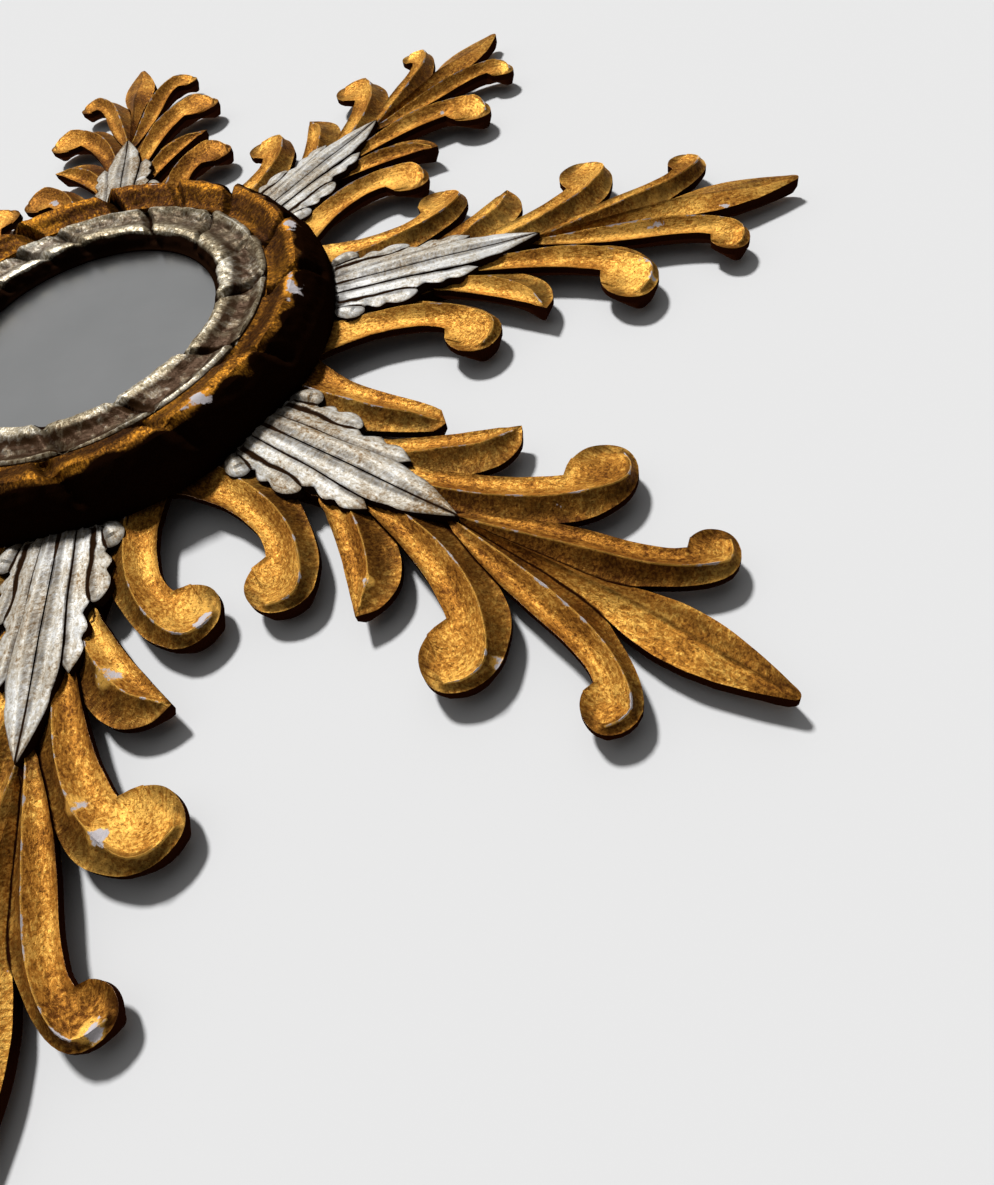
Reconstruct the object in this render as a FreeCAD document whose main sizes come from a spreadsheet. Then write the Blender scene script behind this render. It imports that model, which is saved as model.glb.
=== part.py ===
import FreeCAD, Part
import math
import os
import re
from collections import namedtuple

import Sketcher
from FreeCAD import Placement, Rotation, Vector

# A carved and gilded sunburst wall mirror. Eight acanthus rays are screwed and pegged to the back of a
# round frame, which holds a silvered slip, a convex glass, felt packing and a backing board.
# Row frame: +Z up, the glass faces -Y, the wall is on the +Y side, origin in the middle of the overall box.
# Every piece is drawn lying on its back, front upwards, with its top ray along +Y, and stands up by its
# Placement.

# Driving sizes in millimetres: name, value, meaning
SIZES = (
    ("ray_count", 8, "rays around the frame"),
    ("ray_thickness", 11, "back of a ray to its crest"),
    ("ray_shoulder", 6, "height of a ray's upright edge"),
    ("ray_bevel", 3.5, "how far a lobe's sloping flank leans in"),
    ("crest_half", 0.4, "half the width of the sharpest crest"),
    ("butt_inset", 30, "frame's edge in to the inner end of a ray"),
    ("butt_half", 30, "half the width of a ray's inner end"),
    ("butt_cover", 3, "frame's edge to the inner end's outer corners"),
    ("pad_thickness", 2, "felt between a ray and the wall"),
    ("pad_radius", 8, "felt pad"),
    ("pad_distance", 90, "frame's edge out to a felt pad"),
    ("crest_height", 24, "frame's back to the crest of its gilded roll"),
    ("roll_outer", 14, "radius of the roll's outer quarter"),
    ("roll_inner", 12.5, "crest to the inner edge of the roll"),
    ("roll_fall", 5, "drop from the crest to the roll's inner edge"),
    ("land_width", 2, "flat between the slip's seat and the gilded roll"),
    ("slip_fit", 0.1, "play of the slip in its seat"),
    ("ledge_width", 19.5, "bore to the seat's wall of the slip"),
    ("glass_side", 2, "play around the glass in its bore"),
    ("notch_count", 16, "cuts across each roll"),
    ("notch_width", 3, "width of a cut across a roll"),
    ("gold_notch_depth", 4, "cut across the gilded roll"),
    ("silver_notch_depth", 3, "cut across the silvered roll"),
    ("lip_cover", 10, "how far the lip reaches in over the glass"),
    ("lip_seat", 2.6, "slip's back to the underside of its lip"),
    ("lip_front", 3.8, "slip's back to the lip's front edge"),
    ("lip_top", 5, "slip's back to the foot of its roll"),
    ("lip_slope", 2, "width of the slope inside the roll's foot"),
    ("slip_rise", 5.5, "rise of the slip's roll over its two feet"),
    ("fillet_height", 8.5, "slip's back to the flat beside the roll"),
    ("fillet_width", 3, "flat beside the slip's roll"),
    ("glass_radius", 72, "glass"),
    ("glass_thickness", 3, "glass"),
    ("glass_curve", 328, "radius of the domed glass"),
    ("glass_gap", 0.2, "glass rim to the slip"),
    ("packing_width", 6, "felt packing behind the glass"),
    ("packing_thickness", 1.9, "felt packing behind the glass"),
    ("packing_gap", 0.1, "packing to the glass"),
    ("board_thickness", 4.8, "backing board"),
    ("board_fit", 0.8, "play of the backing board in the bore"),
    ("button_count", 4, "turn buttons"),
    ("button_turn", 22.5, "degrees from the top ray to the first button"),
    ("button_inset", 8, "bore's edge to a button's screw"),
    ("button_arm", 14, "button's screw to the end over the board"),
    ("button_tail", 6, "button's screw to its other end"),
    ("button_half", 5, "half the width of a button"),
    ("button_bow", 2.5, "bulge of a button's ends"),
    ("button_thickness", 2.5, "button"),
    ("button_play", 0.15, "button to the frame's back and to its screw's head"),
    ("pivot_fit", 0.05, "play of a moving piece on its pin"),
    ("button_screw", 1.6, "shank radius of a button's screw"),
    ("button_screw_bite", 8, "length of that screw in the frame"),
    ("button_head", 3.2, "head radius of a button's screw"),
    ("button_head_height", 1.8, "head of a button's screw"),
    ("peg_radius", 4, "wooden peg between a ray and the frame"),
    ("peg_inset", 15, "frame's edge in to a peg"),
    ("peg_in_ray", 6, "length of a peg in the ray"),
    ("peg_in_ring", 8, "length of a peg in the frame"),
    ("screw_radius", 2, "shank of a ray's screw"),
    ("screw_inset", 16, "frame's edge in to a ray's screws, along the ray"),
    ("screw_side", 22, "ray's middle to each of its screws"),
    ("screw_bite", 9, "length of a ray's screw in the frame"),
    ("screw_head", 4, "head radius of a ray's screw"),
    ("screw_head_height", 2, "head of a ray's screw"),
    ("slot_width", 0.9, "driver slot in a screw's head"),
    ("slot_depth", 0.8, "driver slot in a screw's head"),
    ("hole_fit", 0.05, "play of a screw or peg in its hole"),
    ("hanger_distance", 28, "frame's edge out to the hinge of the hanger"),
    ("strap_length", 26, "hanger strap below its hinge"),
    ("strap_half", 4.5, "half the width of the strap"),
    ("strap_thickness", 1.2, "hanger strap"),
    ("wire_radius", 1.2, "wire of the hanger's loop"),
    ("barrel_wall", 1.2, "wall of the strap's rolled end"),
    ("barrel_lift", 0.4, "rolled end to the pocket's floor"),
    ("loop_half", 9, "half the width of the loop, to the wire's middle"),
    ("loop_corner", 3, "radius of the loop's corners"),
    ("loop_side", 2, "straight sides of the loop"),
    ("pocket_depth", 5.5, "pocket for the hanger in the top ray's back"),
    ("pocket_margin", 1.8, "room around the hanger in its pocket"),
    ("hanger_screw_drop", 20, "hinge to the hanger's screw"),
    ("hanger_screw", 1.5, "shank radius of the hanger's screw"),
    ("hanger_screw_cover", 1.5, "wood left in front of that screw"),
    ("hanger_head", 3, "head radius of the hanger's screw"),
    ("hanger_head_height", 1.6, "head of the hanger's screw"),
    ("sepal_thickness", 6.5, "silvered leaf on a ray"),
    ("sepal_shoulder", 3, "height of its upright edge"),
    ("sepal_bevel", 2, "how far its sloping flank leans in"),
    ("sepal_gap", 0.5, "silvered leaf to the frame"),
    ("vein_depth", 2, "groove along the silvered leaf"),
    ("vein_half", 1.4, "half the width of that groove"),
    ("vein_length", 86, "frame's edge out to the end of that groove"),
)

# Sizes that follow from the driving ones: name, formula, meaning
DERIVED = (
    ("rebate_radius", "glass_radius + glass_side", "bore that takes the glass and the board"),
    ("sight_radius", "glass_radius - lip_cover", "visible edge of the glass"),
    ("slip_radius", "rebate_radius + ledge_width", "seat of the silvered slip in the frame"),
    ("ring_outer", "slip_radius + land_width + roll_inner + roll_outer", "outer radius of the frame"),
    ("glass_back", "board_thickness + packing_thickness + packing_gap", "frame's back to the glass"),
    ("ledge_height", "glass_back + glass_thickness + glass_gap", "frame's back to the seat of the slip"),
    ("butt_reach", "ring_outer - butt_inset", "centre to the inner end of a ray"),
    ("pad_reach", "ring_outer + pad_distance", "centre to a felt pad"),
    ("button_pivot", "rebate_radius + button_inset", "centre to a button's screw"),
    ("peg_reach", "ring_outer - peg_inset", "centre to a peg"),
    ("screw_reach", "ring_outer - screw_inset", "centre to a ray's screws, along the ray"),
    ("hanger_pivot", "ring_outer + hanger_distance", "centre to the hinge of the hanger"),
    ("hanger_screw_bite", "ray_thickness - pocket_depth - hanger_screw_cover", "hanger's screw in the ray"),
    ("vein_end", "ring_outer + vein_length", "centre to the end of the silvered leaf's groove"),
)

# Leaf lobes. Each runs through three stations, and a station is its reach beyond the frame's edge,
# its distance from the ray's middle and half the lobe's width there. A scroll ends in a round head.
STATIONS = ("root", "middle", "end")
MEASURES = ("reach", "side", "half")
RAY_SIDES = {
    "low_scroll": ((-22, 27, 12), (35, 32.5, 11.5), (59, 51, 10.5)),
    "leaflet": ((28, 12, 8), (79, 27, 10.5), (95, 52, 1.2)),
    "mid_scroll": ((63, 5, 9), (114, 18.5, 11.5), (133, 44, 10)),
    "top_scroll": ((108, 4, 6), (155, 12.5, 8.5), (182, 32, 7)),
}
RAY_MIDDLE = {
    "stem": ((-12, 0, 18), (53, 0, 13), (163, 0, 3)),
    "tip_blade": ((140, 0, 2.5), (189, 0, 10.5), (228, 0, 1)),
}
SCROLL_HEADS = {"low_scroll": 13, "mid_scroll": 12.5, "top_scroll": 8.5}
SEPAL_SIDES = {
    "low_lobe": ((-8, 17, 7), (3, 20.5, 6), (11, 25, 3)),
    "mid_lobe": ((-8, 9, 9), (20, 14, 6.5), (37, 19.5, 3)),
    "high_lobe": ((13, 4, 6), (48, 9, 5), (68, 12.5, 2)),
}
SEPAL_MIDDLE = {"sepal_blade": ((-10, 0, 9), (53, 0, 9), (103, 0, 1))}
LOBES = {**RAY_SIDES, **RAY_MIDDLE, **SEPAL_SIDES, **SEPAL_MIDDLE}

# Depths along Y and sizes that follow from the driving ones
WALL = "(pad_thickness + ray_thickness + crest_height) / 2"
RAY_BACK = f"{WALL} - pad_thickness"
RING_BACK = f"{RAY_BACK} - ray_thickness"
CREST_RADIUS = "ring_outer - roll_outer"
ROLL_ARC = "(roll_inner ^ 2 + roll_fall ^ 2) / (2 * roll_fall)"
SLIP_FLAT = "slip_radius - fillet_width"
SLIP_FOOT = "sight_radius + lip_slope"
SLIP_CHORD = f"(({SLIP_FLAT} - ({SLIP_FOOT})) ^ 2 + (fillet_height - lip_top) ^ 2)"
SLIP_ARC = f"{SLIP_CHORD} / (8 * slip_rise) + slip_rise / 2"
SLIP_CREST = "(fillet_height + lip_top) / 2 + slip_rise"
GLASS_RISE = "glass_curve - sqrt(glass_curve ^ 2 - glass_radius ^ 2)"
BUTTON_X = "button_pivot * sin(button_turn * 1 deg)"
BUTTON_Y = "button_pivot * cos(button_turn * 1 deg)"
BUTTON_ARC = "(button_half ^ 2 + button_bow ^ 2) / (2 * button_bow)"
BUTTON_BACK = "button_play + button_thickness"
BARREL = "(wire_radius + pivot_fit + barrel_wall)"
HINGE_DEPTH = f"pocket_depth - barrel_lift - {BARREL}"
LOOP_DROP = "loop_corner + loop_side + loop_half"

Corner = namedtuple("Corner", "x y radius side", defaults=(None, 1))
FULL_TURN = 360.0
UP = Vector(0, 0, 1)
ACROSS = Vector(1, 0, 0)
STANDING = Rotation(ACROSS, 90)

doc = FreeCAD.newDocument("sunburst_mirror")
sheet = doc.addObject("Spreadsheet::Sheet", "sizes")
aliases = set()
pieces = []


def fill_sheet():
    """Writes the driving sizes, the lobes' stations and heads and the derived sizes into the sheet."""
    rows = list(SIZES)
    for name, stations in LOBES.items():
        for station, numbers in zip(STATIONS, stations):
            for measure, number in zip(MEASURES, numbers):
                rows.append((f"{name}_{station}_{measure}", number, f"{name}, {station}"))
    for name, radius in SCROLL_HEADS.items():
        rows.append((f"{name}_head", radius, f"{name}, radius of its head"))
    rows += [(alias, f"={formula}", meaning) for alias, formula, meaning in DERIVED]
    for row, (alias, value, meaning) in enumerate(rows, 1):
        sheet.set(f"A{row}", meaning)
        sheet.set(f"B{row}", str(value))
        sheet.setAlias(f"B{row}", alias)
        aliases.add(alias)
    doc.recompute()


def cell(text):
    """An expression of size names, with each name read from the sheet."""
    return re.sub(r"[a-z_]+", lambda found: f"sizes.{found[0]}" if found[0] in aliases else found[0], text)


def size(text):
    """The number that an expression of size names has now."""
    return float(sheet.evalExpression(cell(text)))


def stand(piece, depth, turn=0.0):
    """Stands a piece up at a depth along Y, turned clockwise about the mirror's axis."""
    rotation = STANDING.multiply(Rotation(UP, -turn))
    piece.Placement = Placement(Vector(0, size(depth), 0), rotation)
    piece.setExpression("Placement.Base.y", cell(depth))
    pieces.append(piece)


def turns(copies):
    """Number and clockwise turn of each of several pieces spread evenly around the axis."""
    total = round(size(copies))
    return [(index + 1, index * FULL_TURN / total) for index in range(total)]


def new_body(label):
    """An empty body for one piece."""
    body = doc.addObject("PartDesign::Body", label)
    body.Label = label
    return body


def origin_feature(body, role):
    """One of a body's own planes or axes."""
    return next(feature for feature in body.Origin.OriginFeatures if feature.Role == role)


def new_sketch(body, name, role="XY_Plane", lift=None):
    """A sketch on one of the body's planes, raised by an expression where one is given."""
    sketch = body.newObject("Sketcher::SketchObject", f"{body.Name}_{name}")
    sketch.AttachmentSupport = (origin_feature(body, role), [""])
    sketch.MapMode = "FlatFace"
    if lift:
        sketch.setExpression("AttachmentOffset.Base.z", cell(lift))
    return sketch


def bind(sketch, kind, where, text):
    """Adds a dimension to a sketch and binds it to the sheet."""
    index = sketch.addConstraint(Sketcher.Constraint(kind, *where, size(text)))
    sketch.setExpression(f"Constraints[{index}]", cell(text))


def bulged(start, end, radius, side):
    """An arc under a half circle, which bulges to the right of its way on side 1, to the left on side -1."""
    chord = end - start
    aside = Vector(chord.y, -chord.x, 0).normalize() * side
    rise = radius - math.sqrt(radius**2 - chord.Length**2 / 4)
    return Part.Arc(start, (start + end) * 0.5 + aside * rise, end)


def outline(sketch, corners):
    """Draws a closed anticlockwise outline with its corners and arcs bound to the sheet."""
    points = [Vector(size(corner.x), size(corner.y), 0) for corner in corners]
    ends = []
    for corner, start, end in zip(corners, points, points[1:] + points[:1]):
        if corner.radius:
            edge = sketch.addGeometry(bulged(start, end, size(corner.radius), corner.side))
            bind(sketch, "Radius", (edge,), corner.radius)
        else:
            edge = sketch.addGeometry(Part.LineSegment(start, end))
        gaps = [sketch.getPoint(edge, place).distanceToPoint(start) for place in (1, 2)]
        first, last = (1, 2) if gaps[0] < gaps[1] else (2, 1)
        bind(sketch, "DistanceX", (edge, first), corner.x)
        bind(sketch, "DistanceY", (edge, first), corner.y)
        ends.append((edge, first, last))
    for (edge, _, last), (following, first, _) in zip(ends, ends[1:] + ends[:1]):
        sketch.addConstraint(Sketcher.Constraint("Coincident", edge, last, following, first))


def box_outline(sketch, low_x, low_y, high_x, high_y):
    """Draws an upright rectangle bound to the sheet."""
    sides = ((low_x, low_y), (high_x, low_y), (high_x, high_y), (low_x, high_y))
    outline(sketch, [Corner(x, y) for x, y in sides])


def circle(sketch, x, y, radius):
    """Draws a circle whose middle and radius are bound to the sheet."""
    drawn = sketch.addGeometry(Part.Circle(Vector(size(x), size(y), 0), UP, size(radius)))
    bind(sketch, "DistanceX", (drawn, 3), x)
    bind(sketch, "DistanceY", (drawn, 3), y)
    bind(sketch, "Radius", (drawn,), radius)


def revolve(body, corners):
    """Turns an outline in radius and height about the mirror's axis."""
    sketch = new_sketch(body, "profile", "XZ_Plane")
    outline(sketch, corners)
    turned = body.newObject("PartDesign::Revolution", f"{body.Name}_turned")
    turned.Profile = sketch
    turned.ReferenceAxis = (sketch, ["V_Axis"])
    turned.Angle = FULL_TURN
    doc.recompute()


def extrude(body, kind, sketch, length, **settings):
    """Adds a pad or a pocket of a bound length, and checks that a pocket took something away."""
    before = body.Shape.Volume if kind == "Pocket" else 0.0
    feature = body.newObject(f"PartDesign::{kind}", f"{sketch.Name}_{kind.lower()}")
    feature.Profile = sketch
    feature.setExpression("Length", cell(length))
    for setting, value in settings.items():
        setattr(feature, setting, value)
    doc.recompute()
    if kind == "Pocket" and body.Shape.Volume >= before:
        raise RuntimeError(f"{feature.Name} cuts nothing")
    return feature


def around(body, features, copies):
    """Repeats features about the mirror's axis."""
    pattern = body.newObject("PartDesign::PolarPattern", f"{features[0].Name}_around")
    pattern.Originals = features
    pattern.Axis = (origin_feature(body, "Z_Axis"), [""])
    pattern.Angle = FULL_TURN
    pattern.setExpression("Occurrences", cell(copies))
    body.Tip = pattern
    doc.recompute()


def cut_notches(body, inner, outer, crest, depth):
    """Cuts narrow notches across a roll, evenly spaced."""
    sketch = new_sketch(body, "notch", lift=crest)
    box_outline(sketch, "-notch_width / 2", inner, "notch_width / 2", outer)
    around(body, [extrude(body, "Pocket", sketch, depth)], "notch_count")


def drill(body, name, x, y, radius, depth, copies):
    """Drills a hole of a bound depth into the back of a piece and repeats it about the axis."""
    sketch = new_sketch(body, name)
    circle(sketch, x, y, f"{radius} + hole_fit")
    around(body, [extrude(body, "Pocket", sketch, f"{depth} + hole_fit", Reversed=True)], copies)


def make_ring_frame():
    """The gilded roll, with a bore for the glass, a ledge for the slip and holes for what is fixed to it."""
    body = new_body("ring_frame")
    revolve(body, [
        Corner("rebate_radius", "0"),
        Corner("ring_outer", "0"),
        Corner("ring_outer", "crest_height - roll_outer", "roll_outer"),
        Corner(CREST_RADIUS, "crest_height", ROLL_ARC),
        Corner(f"{CREST_RADIUS} - roll_inner", "crest_height - roll_fall"),
        Corner("slip_radius", "crest_height - roll_fall"),
        Corner("slip_radius", "ledge_height"),
        Corner("rebate_radius", "ledge_height"),
    ])
    drill(body, "peg", "0", "peg_reach", "peg_radius", "peg_in_ring", "ray_count")
    drill(body, "right_screw", "screw_side", "screw_reach", "screw_radius", "screw_bite", "ray_count")
    drill(body, "left_screw", "-screw_side", "screw_reach", "screw_radius", "screw_bite", "ray_count")
    drill(body, "button_screw", BUTTON_X, BUTTON_Y, "button_screw", "button_screw_bite", "button_count")
    cut_notches(body, f"{CREST_RADIUS} - roll_inner", "ring_outer", "crest_height", "gold_notch_depth")
    stand(body, RING_BACK)


def make_sight_ring():
    """The silvered slip: a roll with a thin lip over the rim of the glass."""
    body = new_body("sight_ring")
    revolve(body, [
        Corner("rebate_radius", "0"),
        Corner("slip_radius - slip_fit", "0"),
        Corner("slip_radius - slip_fit", "fillet_height"),
        Corner(SLIP_FLAT, "fillet_height", SLIP_ARC),
        Corner(SLIP_FOOT, "lip_top"),
        Corner("sight_radius", "lip_front"),
        Corner("sight_radius", "lip_seat"),
    ])
    cut_notches(body, SLIP_FOOT, SLIP_FLAT, SLIP_CREST, "silver_notch_depth")
    stand(body, f"{RING_BACK} - ledge_height")


def make_mirror_glass():
    """The glass, bent to a shallow dome of even thickness."""
    body = new_body("mirror_glass")
    revolve(body, [
        Corner("0", GLASS_RISE, "glass_curve", -1),
        Corner("glass_radius", "0"),
        Corner("glass_radius", "glass_thickness", "glass_curve"),
        Corner("0", f"glass_thickness + {GLASS_RISE}"),
    ])
    stand(body, f"{RING_BACK} - glass_back")


def make_packing_ring():
    """The felt that fills the space between the glass and the backing board."""
    body = new_body("packing_ring")
    sketch = new_sketch(body, "ring")
    circle(sketch, "0", "0", "glass_radius")
    circle(sketch, "0", "0", "glass_radius - packing_width")
    extrude(body, "Pad", sketch, "packing_thickness")
    stand(body, f"{RING_BACK} - board_thickness")


def make_backing_board():
    """The board that closes the frame's back, flush with it."""
    body = new_body("backing_board")
    sketch = new_sketch(body, "disc")
    circle(sketch, "0", "0", "rebate_radius - board_fit")
    extrude(body, "Pad", sketch, "board_thickness")
    stand(body, RING_BACK)


def make_turn_button(number, turn):
    """A brass bar that turns on its screw to free the backing board."""
    body = new_body(f"turn_button_{number}")
    sketch = new_sketch(body, "bar")
    low, high = "button_pivot - button_arm", "button_pivot + button_tail"
    outline(sketch, [
        Corner("-button_half", low, BUTTON_ARC),
        Corner("button_half", low),
        Corner("button_half", high, BUTTON_ARC),
        Corner("-button_half", high),
    ])
    circle(sketch, "0", "button_pivot", "button_screw + pivot_fit")
    extrude(body, "Pad", sketch, "button_thickness")
    stand(body, f"{RING_BACK} + {BUTTON_BACK}", turn + size("button_turn"))


def make_screws(label, places, shank, length, head, head_height, depth, copies=None):
    """Slotted screws with round heads, each a solid of its own, heads towards the wall."""
    body = new_body(label)
    shanks, heads, slots = (new_sketch(body, name) for name in ("shank", "head", "slot"))
    for x, y in places:
        circle(shanks, x, y, shank)
        circle(heads, x, y, head)
        box_outline(slots, f"{x} - {head}", f"{y} - slot_width / 2", f"{x} + {head}", f"{y} + slot_width / 2")
    features = [
        extrude(body, "Pad", heads, head_height),
        extrude(body, "Pad", shanks, f"{head_height} + {length}"),
        extrude(body, "Pocket", slots, "slot_depth", Reversed=True),
    ]
    if copies:
        around(body, features, copies)
    stand(body, depth)


def make_discs(label, reach, radius, length, depth):
    """One round pad or peg for each ray, each a solid of its own."""
    body = new_body(label)
    sketch = new_sketch(body, "round")
    circle(sketch, "0", reach, radius)
    around(body, [extrude(body, "Pad", sketch, length)], "ray_count")
    stand(body, depth)


def make_hanger_strap():
    """The strap screwed into the top ray, with its upper end rolled round the loop's wire."""
    body = new_body("hanger_strap")
    width = "2 * strap_half"
    plate = new_sketch(body, "plate", "YZ_Plane")
    low = "pocket_depth - strap_thickness"
    box_outline(plate, "hanger_pivot - strap_length", low, "hanger_pivot", "pocket_depth")
    extrude(body, "Pad", plate, width, Midplane=True)
    barrel = new_sketch(body, "barrel", "YZ_Plane")
    circle(barrel, "hanger_pivot", HINGE_DEPTH, BARREL)
    extrude(body, "Pad", barrel, width, Midplane=True)
    bore = new_sketch(body, "bore", "YZ_Plane")
    circle(bore, "hanger_pivot", HINGE_DEPTH, "wire_radius + pivot_fit")
    extrude(body, "Pocket", bore, f"2 * {width}", Midplane=True)
    hole = new_sketch(body, "hole")
    circle(hole, "0", "hanger_pivot - hanger_screw_drop", "hanger_screw + hole_fit")
    extrude(body, "Pocket", hole, "pocket_depth + strap_thickness", Reversed=True)
    stand(body, RAY_BACK)


def wire_along(edge):
    """A round wire along one straight or circular edge of the loop."""
    start, way = edge.valueAt(edge.FirstParameter), edge.tangentAt(edge.FirstParameter)
    disc = Part.Face(Part.Wire(Part.Circle(start, way, size("wire_radius")).toShape()))
    if isinstance(edge.Curve, Part.Circle):
        angle = math.degrees(edge.LastParameter - edge.FirstParameter)
        return disc.revolve(edge.Curve.Center, edge.Curve.Axis, angle)
    return disc.extrude(edge.valueAt(edge.LastParameter) - start)


def make_hanger_loop():
    """The wire loop: a straight bar in the strap's rolled end, two corners and a bow that hangs down."""
    bow, corner = size("loop_half"), size("loop_corner")
    bar = bow - corner
    shoulder = -corner - size("loop_side")
    diagonal = math.sqrt(0.5)
    turns_at = ((bar, 0), (bow, -corner), (bow, shoulder), (0, shoulder - bow))
    stops = [Vector(x, y, 0) for x, y in turns_at]
    bends = {
        0: Vector(bar + corner * diagonal, corner * (diagonal - 1), 0),
        2: Vector(bow * diagonal, shoulder - bow * diagonal, 0),
    }
    half = []
    for index, (start, end) in enumerate(zip(stops, stops[1:])):
        curve = Part.Arc(start, bends[index], end) if index in bends else Part.LineSegment(start, end)
        half.append(curve.toShape())
    straight = Part.LineSegment(Vector(-bar, 0, 0), stops[0]).toShape()
    edges = [straight, *half, *(edge.mirror(Vector(), ACROSS) for edge in half)]
    loop = fuse([wire_along(edge) for edge in edges])
    add_carving("hanger_loop", loop, f"{RAY_BACK} - ({HINGE_DEPTH})", 0.0)
    pieces[-1].setExpression("Placement.Base.z", cell("hanger_pivot"))


def station_points(name, inset):
    """A lobe's middle line, half widths and directions, drawn in by inset at the sides and the end."""
    sides = [size(f"{name}_{at}_side") for at in STATIONS]
    reaches = [size(f"ring_outer + {name}_{at}_reach") for at in STATIONS]
    middles = [Vector(x, y, 0) for x, y in zip(sides, reaches)]
    halves = [max(size(f"{name}_{at}_half") - inset, size("crest_half")) for at in STATIONS]
    root, middle, end = middles
    ways = [(middle - root).normalize(), (end - root).normalize(), (end - middle).normalize()]
    middles[-1] = end - ways[-1] * inset
    return middles, halves, ways


def lobe_wire(name, inset, height):
    """The outline of a lobe at a height: an arc along each flank and a short line across each end."""
    middles, halves, ways = station_points(name, inset)
    lift = Vector(0, 0, height)
    asides = [Vector(way.y, -way.x, 0) * half for way, half in zip(ways, halves)]
    right = [middle + aside + lift for middle, aside in zip(middles, asides)]
    left = [middle - aside + lift for middle, aside in zip(middles, asides)][::-1]
    ends = [Part.LineSegment(right[-1], left[0]), Part.LineSegment(left[-1], right[0])]
    edges = [Part.Arc(*right), ends[0], Part.Arc(*left), ends[1]]
    return Part.Wire([edge.toShape() for edge in edges])


def lobe_solids(name, shoulder, crest, bevel):
    """One lobe: an upright slab, a crown with sloping flanks, and the same for a scroll's round head."""
    slab = Part.Face(lobe_wire(name, 0.0, 0.0)).extrude(Vector(0, 0, shoulder))
    crown = Part.makeLoft([lobe_wire(name, 0.0, shoulder), lobe_wire(name, bevel, crest)], True, True)
    solids = [slab, crown]
    if name in SCROLL_HEADS:
        radius = size(f"{name}_head")
        middle = station_points(name, 0.0)[0][-1]
        solids.append(Part.makeCylinder(radius, shoulder, middle))
        foot = middle + Vector(0, 0, shoulder)
        solids.append(Part.makeCone(radius, radius - bevel, crest - shoulder, foot))
    return solids


def leaf(middle_lobes, side_lobes, shoulder, crest, bevel):
    """All lobes of a leaf in one solid: those on its middle line, and those of both its sides."""
    solids = []
    for name in middle_lobes:
        solids += lobe_solids(name, shoulder, crest, bevel)
    for name in side_lobes:
        for solid in lobe_solids(name, shoulder, crest, bevel):
            solids += [solid, solid.mirror(Vector(), ACROSS)]
    return solids


def fuse(solids):
    """One solid from several that overlap."""
    return solids[0].multiFuse(solids[1:]).removeSplitter()


def add_carving(label, shape, depth, turn):
    """Adds a carved piece to the document and stands it up."""
    piece = doc.addObject("Part::Feature", label)
    piece.Label = label
    piece.Shape = shape
    stand(piece, depth, turn)


def upright(radius, height, x, y, z):
    """A round hole or peg along the mirror's axis."""
    return Part.makeCylinder(radius, height, Vector(x, y, z))


def ray_holes():
    """What the peg and the two screws take out of a ray."""
    thickness, fit = size("ray_thickness"), size("hole_fit")
    depth = size("peg_in_ray") + fit
    holes = [upright(size("peg_radius") + fit, depth, 0, size("peg_reach"), thickness - depth)]
    for side in (size("screw_side"), -size("screw_side")):
        reach = size("screw_reach")
        holes.append(upright(size("screw_radius") + fit, thickness, side, reach, 0))
        holes.append(upright(size("screw_head") + fit, size("screw_head_height") + fit, side, reach, 0))
    return holes


def hanger_pocket():
    """What the hanger and its screw take out of the top ray's back."""
    margin = size("pocket_margin")
    half = size("loop_half + wire_radius") + margin
    low = size("hanger_pivot - strap_length") - margin
    high = size(f"hanger_pivot + {LOOP_DROP} + wire_radius") + margin
    depth = size("pocket_depth")
    pocket = Part.makeBox(2 * half, high - low, depth, Vector(-half, low, 0))
    reach = size("hanger_pivot - hanger_screw_drop")
    bite = size("hanger_screw_bite + hole_fit")
    return [pocket, upright(size("hanger_screw + hole_fit"), bite, 0, reach, depth)]


def make_rays():
    """The carved rays: an inner end under the frame, a stem, four lobes on each side and a tip."""
    thickness, shoulder, bevel = size("ray_thickness"), size("ray_shoulder"), size("ray_bevel")
    half, inner = size("butt_half"), size("butt_reach")
    length = size("ring_outer - butt_cover") - inner
    butt = Part.makeBox(2 * half, length, thickness, Vector(-half, inner, 0))
    ray = fuse([butt, *leaf(RAY_MIDDLE, RAY_SIDES, shoulder, thickness, bevel)]).cut(ray_holes())
    top_ray = ray.cut(hanger_pocket())
    for number, turn in turns("ray_count"):
        add_carving(f"ray_{number}", top_ray if number == 1 else ray, RAY_BACK, turn)


def make_sepals():
    """The silvered leaves that lie on the rays against the frame, each with a groove along its middle."""
    crest, shoulder, bevel = size("sepal_thickness"), size("sepal_shoulder"), size("sepal_bevel")
    sepal = fuse(leaf(SEPAL_MIDDLE, SEPAL_SIDES, shoulder, crest, bevel))
    clear = size("ring_outer + sepal_gap")
    half, floor = size("vein_half"), crest - size("vein_depth")
    corners = [Vector(-half, clear, crest), Vector(half, clear, crest), Vector(0, clear, floor)]
    vein = Part.Face(Part.makePolygon(corners + corners[:1])).extrude(Vector(0, size("vein_end") - clear, 0))
    sepal = sepal.cut([upright(clear, crest, 0, 0, 0), vein])
    for number, turn in turns("ray_count"):
        add_carving(f"sepal_{number}", sepal, RING_BACK, turn)


def check_pieces():
    """Stops the build if any object failed or any piece is empty or not valid."""
    doc.recompute()
    for thing in doc.Objects:
        if {"Invalid", "Error"} & set(thing.State):
            raise RuntimeError(f"{thing.Label} failed: {thing.State}")
    for piece in pieces:
        if piece.Shape.isNull() or not piece.Shape.isValid() or not piece.Shape.Solids:
            raise RuntimeError(f"{piece.Label} has no valid solid")


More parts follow.
